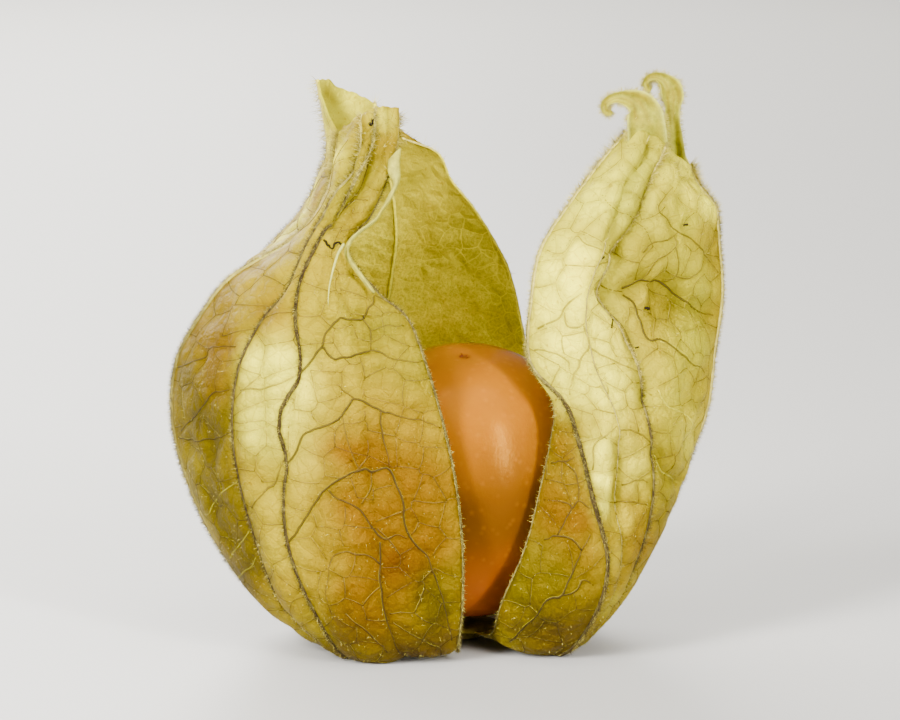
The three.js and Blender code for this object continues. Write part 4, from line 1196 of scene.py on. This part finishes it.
def make_ribs(sheet, material):
    maker = MeshMaker()
    rng = np.random.default_rng(sheet.seed + 3)
    for k, rib in enumerate(sheet.ribs):
        if not rib["radius"]:
            continue
        points, ups, radii, v = rib_path(sheet, k)
        rough = 1 + 0.22 * noise_at(points, 0.5, sheet.seed + k)
        points = points + ups * 0.03
        body, faces, side = tube(points, ups, radii * rough, RIB_SIDES)
        body = body + 0.03 * np.stack([noise_at(body, 0.25, s) for s in (1, 2, 3)], -1)
        body[:, 2] = np.maximum(body[:, 2], LEAST_RIB)
        dark = np.repeat(darkness(rib, v), RIB_SIDES)
        dark = np.clip(dark + rng.normal(0, 0.10, len(body)), 0, 1)
        tone = mixed(RIB_PALE, RIB_DARK, dark[:, None])
        share = smoothstep(-0.9, -0.5, side)[:, None]
        maker.add(body, faces, mixed(VEIN_INSIDE * 0.9, tone, share))
    return maker.make(f"ribs_{sheet.name}", material)


HAIR_RADIUS = 0.016  # mm
RIB_HAIR = 0.30  # mm, the usual length on a rib
SHEET_HAIR = 0.16
HAIRS_PER_MM = 2.2  # along a rib, times its own number


def make_hairs(sheet, material):
    """Short hairs along the ribs, longer by the necks, and scattered over the sheet."""
    rng = np.random.default_rng(sheet.seed)
    maker = MeshMaker()
    roots = []
    for k, rib in enumerate(sheet.ribs):
        points, ups, radii, v = rib_path(sheet, k)
        steps = np.linalg.norm(np.diff(points, axis=0), axis=1)
        count = int(HAIRS_PER_MM * rib["hairs"] * steps.sum())
        where = rng.uniform(1, len(points) - 1.01, count)
        low = where.astype(int)
        share = (where - low)[:, None]
        at = points[low] * (1 - share) + points[low + 1] * share
        dark = darkness(rib, v[low])
        roots.append((at, ups[low], radii[low], v[low], RIB_HAIR, dark * 0.8))
    count = int(40 * (sheet.base.shape[0] * sheet.base.shape[1]) ** 0.5)
    rows = rng.uniform(0.06, 0.99, count) * (sheet.base.shape[0] - 1)
    columns = rng.uniform(0, 1, count) * (sheet.base.shape[1] - 1)
    at = sheet.at(sheet.surface, rows, columns)
    ups = unit(sheet.at(sheet.surface_normal, rows, columns))
    v = np.interp(rows, np.arange(len(sheet.v)), sheet.v)
    roots.append((at, ups, np.full(count, 0.05), v, SHEET_HAIR, np.full(count, 0.15)))
    for at, ups, radii, v, length, dark in roots:
        lengths = length * rng.uniform(0.4, 1.4, len(at)) * (1 + 1.2 * smoothstep(0.75, 1.0, v))
        lean = rng.normal(0, 0.55, (len(at), 3))
        for n in range(len(at)):
            direction = unit(ups[n] + lean[n])
            reach = lengths[n] + radii[n] * 0.4
            root = at[n] + ups[n] * radii[n] * 0.6
            if min(root[2], root[2] + direction[2] * reach) < LEAST_HAIR:
                continue
            points, faces = spike(root, direction, reach, HAIR_RADIUS)
            tone = HAIR_DARK if rng.uniform() < dark[n] else HAIR
            maker.add(points, faces, tone * rng.uniform(0.6, 1.3))
    return maker.make(f"hairs_{sheet.name}", material, smooth=False)


# The two free tips of the right sheet, curled into hooks
HOOKS = [
    dict(
        places=[
            (648, 152, -0.9), (647, 139, -1.7), (646, 125, -2.0), (644, 113, -1.9), (639, 104, -1.8),
            (629, 99, -1.7), (618, 97.5, -1.6), (609.5, 100, -1.5), (604.5, 105, -1.4), (605, 110.5, -1.4),
            (609, 113, -1.3), (612, 111, -1.3),
        ],
        widths=[2.6, 2.6, 2.5, 2.3, 1.8, 1.15, 0.7, 0.58, 0.5, 0.44, 0.38, 0.25],
    ),
    dict(
        places=[
            (674, 160, 0.3), (673, 143, -0.5), (672, 122, -0.9), (672.5, 108, -0.9), (672.5, 97, -0.9),
            (669.5, 87, -1.0), (663, 79.5, -1.0), (655, 76.5, -1.0), (648, 78.5, -1.0), (645.5, 84, -1.0),
            (647.5, 89, -1.0), (651, 90.5, -1.0),
        ],
        widths=[1.6, 1.4, 1.05, 0.95, 1.45, 1.5, 0.85, 0.5, 0.42, 0.38, 0.32, 0.22],
    ),
]
HOOK_ROWS = 120
HOOK_COLUMNS = 20
HOOK_HAIRS = 1300
HOOK_HAIR_RADIUS = 0.014


def make_hooks(material, hair_material):
    """Each tip is a cupped, creased blade with thick pale edges."""
    blades = MeshMaker()
    hairs = MeshMaker()
    rng = np.random.default_rng(5)
    s = np.linspace(0, 1, HOOK_ROWS)
    cross = np.linspace(-1, 1, HOOK_COLUMNS)
    for hook in HOOKS:
        knots = [seen_point(*place) for place in hook["places"]]
        centre = spline(knots, s)
        forward = spline_direction(knots, s)
        viewer = np.tile(TOWARDS_CAMERA, (HOOK_ROWS, 1))
        wide = unit(np.cross(forward, viewer))
        face = unit(np.cross(wide, forward))
        face = face * np.sign((face @ TOWARDS_CAMERA)[:, None])
        width = np.interp(s, np.linspace(0, 1, len(hook["widths"])), hook["widths"])[:, None]
        cup = 0.2 * width * np.abs(cross[None]) ** 1.6
        crease = 0.05 * np.cos(cross * 8 + 1)[None] * smoothstep(0.4, 1.6, width)
        middle = centre[:, None] + (0.5 * width * cross[None])[..., None] * wide[:, None]
        middle = middle + (cup + crease)[..., None] * face[:, None]
        flat = middle.reshape(-1, 3)
        ripple = 0.07 * noise_at(flat, 0.7, 8) + 0.03 * noise_at(flat, 0.25, 9)
        middle = middle + ripple.reshape(HOOK_ROWS, HOOK_COLUMNS, 1) * face[:, None]
        thick = 0.07 + 0.07 * np.abs(cross) ** 6
        half = thick[None, :, None] * face[:, None]
        points = np.concatenate([middle + half, middle - half]).reshape(-1, 3)
        faces = slab_faces(HOOK_ROWS, HOOK_COLUMNS)
        along = np.tile(np.repeat(s, HOOK_COLUMNS), 2)
        side = np.tile(np.tile(cross, HOOK_ROWS), 2)
        streaks = noise_at(np.column_stack([along * 3, side * 1.6, 0 * side]), 0.45, 3)
        shade = np.clip(0.55 + 0.8 * streaks - 0.6 * smoothstep(0.3, 0.0, along), 0, 1)[:, None]
        colour = mixed(PALE_GREEN * 0.6, OLIVE, shade)
        edge = (smoothstep(0.75, 0.98, np.abs(side)) * 0.7)[:, None]
        blades.add(points, faces, mixed(colour, THREAD_PALE, edge))
        for _ in range(HOOK_HAIRS):
            row = rng.integers(8, HOOK_ROWS)
            column = rng.choice([0, HOOK_COLUMNS - 1, rng.integers(0, HOOK_COLUMNS)])
            out = cross[column] * wide[row] + 0.5 * rng.normal(0, 1, 3)
            root = middle[row, column]
            shape, sides = spike(root, out, thick[column] + rng.uniform(0.06, 0.3), HOOK_HAIR_RADIUS)
            hairs.add(shape, sides, HAIR * rng.uniform(0.6, 1.2))
    return blades.make("husk_tips", material), hairs.make("hairs_tips", hair_material, smooth=False)


# The front lobe's torn edge is folded back on itself as a pale strip, and ends in a loose thread.
# Points are pixels of the photograph, with the depth y in mm.
FOLD_LEFT = [
    (388, 160, -4.7), (388, 172, -5.0), (393, 183, -5.3), (389, 194, -5.6), (380, 210, -6.1),
    (373, 219, -6.5), (360, 230, -7.0), (347, 242, -7.6), (345, 256, -8.0), (357, 275, -8.1),
    (373, 294, -8.1),
]
FOLD_RIGHT = [
    (401, 148, -4.3), (400, 166, -4.9), (400, 180, -5.2), (393, 197, -5.6), (384, 211, -6.1),
    (377, 221, -6.5), (364, 231, -7.0), (352, 243, -7.6), (350, 254, -7.9), (361, 272, -8.0),
    (376, 292, -8.1),
]
THREAD = [(344, 244, -8.2), (338, 254, -8.7), (332, 274, -9.0), (329, 290, -9.2), (328, 306, -9.3)]
THREAD_RADIUS = 0.1
THREAD_ROWS = 30
FOLD_ROWS = 110
FOLD_COLUMNS = 9
FOLD_HALF_THICKNESS = 0.04

# Dark marks on the sheets: radius in mm, and the pixels they pass through
LEFT_MARKS = [
    (0.07, [(324, 241), (327, 243), (330, 246), (333, 247), (335, 243), (340, 244)]),
    (0.12, [(368, 125), (371, 124), (373, 122)]),
    (0.06, [(363, 318), (364, 319)]),
    (0.06, [(328, 396), (329, 397)]),
]
RIGHT_MARKS = [
    (0.09, [(642, 308), (645, 306), (648, 305)]),
    (0.06, [(601, 258), (602, 256)]),
    (0.07, [(682, 228), (685, 226)]),
    (0.05, [(638, 344), (639, 343)]),
    (0.05, [(612, 323), (613, 328), (613, 334)]),
    (0.05, [(632, 300), (633, 299)]),
]


def make_fold(material):
    s = np.linspace(0, 1, FOLD_ROWS)
    left = spline([seen_point(*place) for place in FOLD_LEFT], s)
    right = spline([seen_point(*place) for place in FOLD_RIGHT], s)
    t = np.linspace(0, 1, FOLD_COLUMNS)[None, :, None]
    middle = left[:, None] * (1 - t) + right[:, None] * t
    face = grid_normals(middle)
    face = face * np.sign(-face[..., 1:2])
    flat = middle.reshape(-1, 3)
    ripple = (noise_at(flat, 1.2, 4) + 0.5 * noise_at(flat, 0.4, 5)).reshape(FOLD_ROWS, FOLD_COLUMNS, 1)
    middle = middle + face * (0.22 * np.sin(np.pi * t) + 0.14 * ripple)
    half = FOLD_HALF_THICKNESS * face
    points = np.concatenate([middle + half, middle - half]).reshape(-1, 3)
    tone = np.clip(0.5 + 0.9 * noise_at(points, 1.5, 9), 0, 1)[:, None]
    maker = MeshMaker()
    maker.add(points, slab_faces(FOLD_ROWS, FOLD_COLUMNS), mixed(KHAKI, THREAD_PALE, 0.25 + 0.55 * tone))
    s = np.linspace(0, 1, THREAD_ROWS)
    thread = spline([seen_point(*place) for place in THREAD], s)
    towards = np.tile((0.0, -1.0, 0.1), (THREAD_ROWS, 1))
    body, faces, _ = tube(thread, towards, THREAD_RADIUS * (1.05 - s) ** 0.6, 6)
    maker.add(body, faces, THREAD_PALE)
    return maker.make("husk_fold", material)


def make_marks(marked_sheets, material):
    """A dark crack in the front lobe, and small dark flecks stuck to the husk."""
    maker = MeshMaker()
    for sheet, marks in marked_sheets:
        for radius, places in marks:
            rows, columns = sheet.path_of(places)
            points = sheet.at(sheet.surface, rows, columns)
            ups = unit(sheet.at(sheet.surface_normal, rows, columns))
            rough = radius * (1 + 0.5 * noise_at(points, 0.2, 7))
            body, faces, _ = tube(points + ups * 0.06, ups, rough, 6)
            maker.add(body, faces, VEIN_DARK * 0.4)
    return maker.make("husk_marks", material)


# Disc and stalk under the berry: radius and height in mm
STALK_PROFILE = [
    (1.2, 1.38), (2.0, 1.32), (2.25, 1.15), (2.3, 0.95), (1.9, 0.82), (1.2, 0.78), (1.02, 0.6), (0.98, 0.35),
    (0.85, 0.22),
]
STALK_SIDES = 60


def make_stalk(material):
    angles = 2 * np.pi * np.arange(STALK_SIDES) / STALK_SIDES
    lobes = 1 + 0.05 * np.cos(5 * angles)
    points = []
    for radius, z in STALK_PROFILE:
        wide = radius * lobes
        ring = [wide * np.cos(angles), wide * np.sin(angles), np.full(STALK_SIDES, z)]
        points += np.column_stack(ring).tolist()
    at = np.arange(len(points)).reshape(-1, STALK_SIDES)
    beside = np.roll(at, -1, 1)
    faces = np.stack([at[:-1], at[1:], beside[1:], beside[:-1]], -1).reshape(-1, 4).tolist()
    caps = [at[0].tolist(), at[-1][::-1].tolist()]
    maker = MeshMaker()
    maker.add(np.array(points), faces + caps, OLIVE * 0.6 + BROWN * 0.4)
    return maker.make("husk_stalk", material)


# Berry
BERRY_RADIUS = 7.8
BERRY_HALF_HEIGHT = 9.0
BERRY_CENTRE_Z = 10.75
BERRY_LEAN = math.radians(14)
BERRY_FULLNESS = 0.05
CROWN_DIMPLE = (0.25, 1.6)  # depth and radius, mm
BERRY_AROUND = 160
BERRY_RINGS = 110
# Painted light and shade: the berry is painted darkest round its middle, where the strip lights fall on it,
# and lighter low down, where the husk shades it, and at its crown. Low down it is also a deeper orange of
# its own.
BERRY_ORANGE = np.array((0.075, 0.024, 5e-05))
BERRY_DEEP = np.array((0.25, 0.054, 5e-05))
BERRY_CROWN = np.array((0.19, 0.062, 5e-05))
SCAR_BROWN = linear("#4a1f0a")
SCAR_FLECKS = 26


def in_husk(points):
    """Points round the middle of an upright berry as points of the one that leans in the husk."""
    lean = np.array(Matrix.Rotation(BERRY_LEAN, 3, "X"))
    return points @ lean.T + np.array([0, 0, BERRY_CENTRE_Z])


def make_berry(material):
    angle = np.pi * (np.arange(BERRY_RINGS + 1) / BERRY_RINGS - 0.5)
    full = 1 + BERRY_FULLNESS * np.sin(2 * angle) ** 2
    radius = BERRY_RADIUS * np.cos(angle) * full
    dimple = np.where(angle > 0, CROWN_DIMPLE[0] * bell(radius / CROWN_DIMPLE[1]), 0)
    z = BERRY_HALF_HEIGHT * np.sin(angle) * full - dimple
    turn = 2 * np.pi * np.arange(BERRY_AROUND) / BERRY_AROUND
    lobes = 1 + 0.006 * np.cos(2 * turn + 0.6) + 0.004 * np.cos(3 * turn + 2)
    shape = radius[1:-1, None] * lobes[None, :]
    heights = np.repeat(z[1:-1, None], BERRY_AROUND, 1)
    points = np.stack([shape * np.cos(turn), shape * np.sin(turn), heights], -1)
    points = np.concatenate([points.reshape(-1, 3), [(0, 0, z[0])], [(0, 0, z[-1])]])
    dents = 0.05 * noise_at(points, 5.0, 2) + 0.02 * noise_at(points, 2.0, 3)
    points = points * (1 + dents / 8)[:, None]
    faces = ring_faces(BERRY_RINGS - 1, BERRY_AROUND)
    top = len(points) - 1
    bottom = top - 1
    last_ring = bottom - BERRY_AROUND
    around = [(k, (k + 1) % BERRY_AROUND) for k in range(BERRY_AROUND)]
    faces += [(bottom, b, a) for a, b in around]
    faces += [(top, last_ring + a, last_ring + b) for a, b in around]
    # Painted light and shade: darker round the middle, lighter low down and at the crown.
    high_share = smoothstep(-9, 9, points[:, 2])[:, None]
    colour = mixed(BERRY_DEEP, BERRY_ORANGE, smoothstep(0.0, 0.5, high_share))
    colour = mixed(colour, BERRY_CROWN, smoothstep(0.6, 1.0, high_share))
    streak = noise_at(points * np.array([1, 1, 0.25]), 1.5, 6)[:, None]
    colour = colour * (1 + 0.06 * streak)
    from_crown = np.linalg.norm(points[:, :2], axis=1)
    on_top = points[:, 2] > 0
    scar = np.where(on_top, bell(from_crown / 0.30), 0) * 0.9
    halo = np.where(on_top, bell(from_crown / 0.75), 0) * 0.35
    colour = mixed(colour, SCAR_BROWN, np.clip(scar + halo * 0.5, 0, 1)[:, None])
    maker = MeshMaker()
    maker.add(in_husk(points), faces, colour)
    return maker.make("berry_body", material)


def make_berry_scar(material):
    """The dry remains of the style at the crown, and a few dark flecks on the skin."""
    maker = MeshMaker()
    top = np.array([0, 0, BERRY_HALF_HEIGHT - CROWN_DIMPLE[0]])
    rng = np.random.default_rng(8)
    for _ in range(SCAR_FLECKS):
        around = rng.uniform(0, 2 * math.pi)
        away = rng.uniform(0.0, 0.28)
        root = top + np.array([away * math.cos(around), away * math.sin(around), -0.02])
        out = np.array([math.cos(around) * 0.9, math.sin(around) * 0.9, rng.uniform(0.2, 0.6)])
        shape, faces = spike(root, out, rng.uniform(0.12, 0.4), rng.uniform(0.04, 0.07))
        maker.add(in_husk(shape), faces, SCAR_BROWN)
    return maker.make("berry_scar", material, smooth=False)


# Scene


def make_camera():
    data = bpy.data.cameras.new("camera")
    data.sensor_width = SENSOR
    data.lens = CAMERA_DISTANCE / PIXEL * SENSOR / PHOTO_WIDTH
    data.clip_start = 0.01
    ob = bpy.data.objects.new("camera", data)
    ob.location = placed(LENS)
    ob.rotation_mode = "QUATERNION"
    ob.rotation_quaternion = Vector(-TOWARDS_CAMERA).to_track_quat("-Z", "Y")
    bpy.context.scene.collection.objects.link(ob)
    bpy.context.scene.camera = ob


def make_stage(material):
    """A floor that curves up into a backdrop."""
    half, depth, rise, height = 1.2, 0.7, 0.5, 1.6
    bend = [(depth + rise * math.sin(a), rise * (1 - math.cos(a))) for a in np.linspace(0, math.pi / 2, 16)]
    profile = [(-half, 0.0), *bend, (depth + rise, height)]
    verts = [(x, y, z) for y, z in profile for x in (-half, half)]
    faces = [(2 * i, 2 * i + 1, 2 * i + 3, 2 * i + 2) for i in range(len(profile) - 1)]
    mesh = bpy.data.meshes.new("floor")
    mesh.from_pydata(verts, [], faces)
    mesh.shade_smooth()
    mesh.materials.append(material)
    ob = bpy.data.objects.new("floor", mesh)
    bpy.context.scene.collection.objects.link(ob)


WARM_WHITE = (1.0, 0.98, 0.95)


def make_light(name, place, size, watts, colour=WARM_WHITE, target=(0.0, 0.0, 0.018)):
    data = bpy.data.lights.new(name, "AREA")
    data.shape = "RECTANGLE"
    data.size, data.size_y = size
    data.energy = watts
    data.color = colour
    ob = bpy.data.objects.new(name, data)
    ob.location = place
    ob.rotation_mode = "QUATERNION"
    ob.rotation_quaternion = (Vector(target) - Vector(place)).to_track_quat("-Z", "Y")
    bpy.context.scene.collection.objects.link(ob)


def make_lights():
    make_light("right_strip", (0.27, -0.36, 0.16), (0.04, 0.34), 7.0)
    make_light("left_strip", (-0.30, -0.36, 0.24), (0.12, 0.30), 12.0)
    make_light("front_top", (0.03, -0.24, 0.58), (0.70, 0.50), 6.0)
    make_light("behind", (-0.26, 0.50, 0.27), (0.60, 0.34), 12.0, (1.0, 0.98, 0.93))
    world = bpy.data.worlds.new("studio")
    world.use_nodes = True
    background = world.node_tree.nodes["Background"]
    background.inputs["Color"].default_value = (1.0, 1.0, 1.0, 1.0)
    background.inputs["Strength"].default_value = 0.06
    bpy.context.scene.world = world


make_camera()
make_stage(floor_material())
make_lights()

membrane = sheet_material("husk_membrane", 0.5)
vein_stuff = painted_material("husk_veins", 0.65, 2500.0, 0.00002, 0.2)
rib_stuff = painted_material("husk_ribs", 0.85, 3500.0, 0.00006)
hair_stuff = painted_material("husk_hairs", 0.6, 800.0, 0.000005, 0.3)
tip_stuff = painted_material("husk_tip_skin", 0.6, 1800.0, 0.00005, 0.25)

left = Sheet("left", LEFT_RIBS, 1, LEFT_PATCHES, LEFT_VEINS, LEFT_FOLDS, 11)
right = Sheet("right", RIGHT_RIBS, -1, RIGHT_PATCHES, RIGHT_VEINS, RIGHT_FOLDS, 23)
pieces = []
for sheet in (left, right):
    pieces.append(make_sheet(sheet, membrane))
    pieces.append(make_veins(sheet, vein_stuff))
    pieces.append(make_ribs(sheet, rib_stuff))
    pieces.append(make_hairs(sheet, hair_stuff))
pieces += make_hooks(tip_stuff, hair_stuff)
pieces.append(make_fold(tip_stuff))
pieces.append(make_marks(((left, LEFT_MARKS), (right, RIGHT_MARKS)), rib_stuff))
pieces.append(make_stalk(rib_stuff))
for piece in pieces:
    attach(piece, "root")
    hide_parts("husk")

scar_stuff = painted_material("berry_scar_skin", 0.8, 3000.0, 0.00003)
for piece in (make_berry(berry_material()), make_berry_scar(scar_stuff)):
    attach(piece, "root")
    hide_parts("berry")
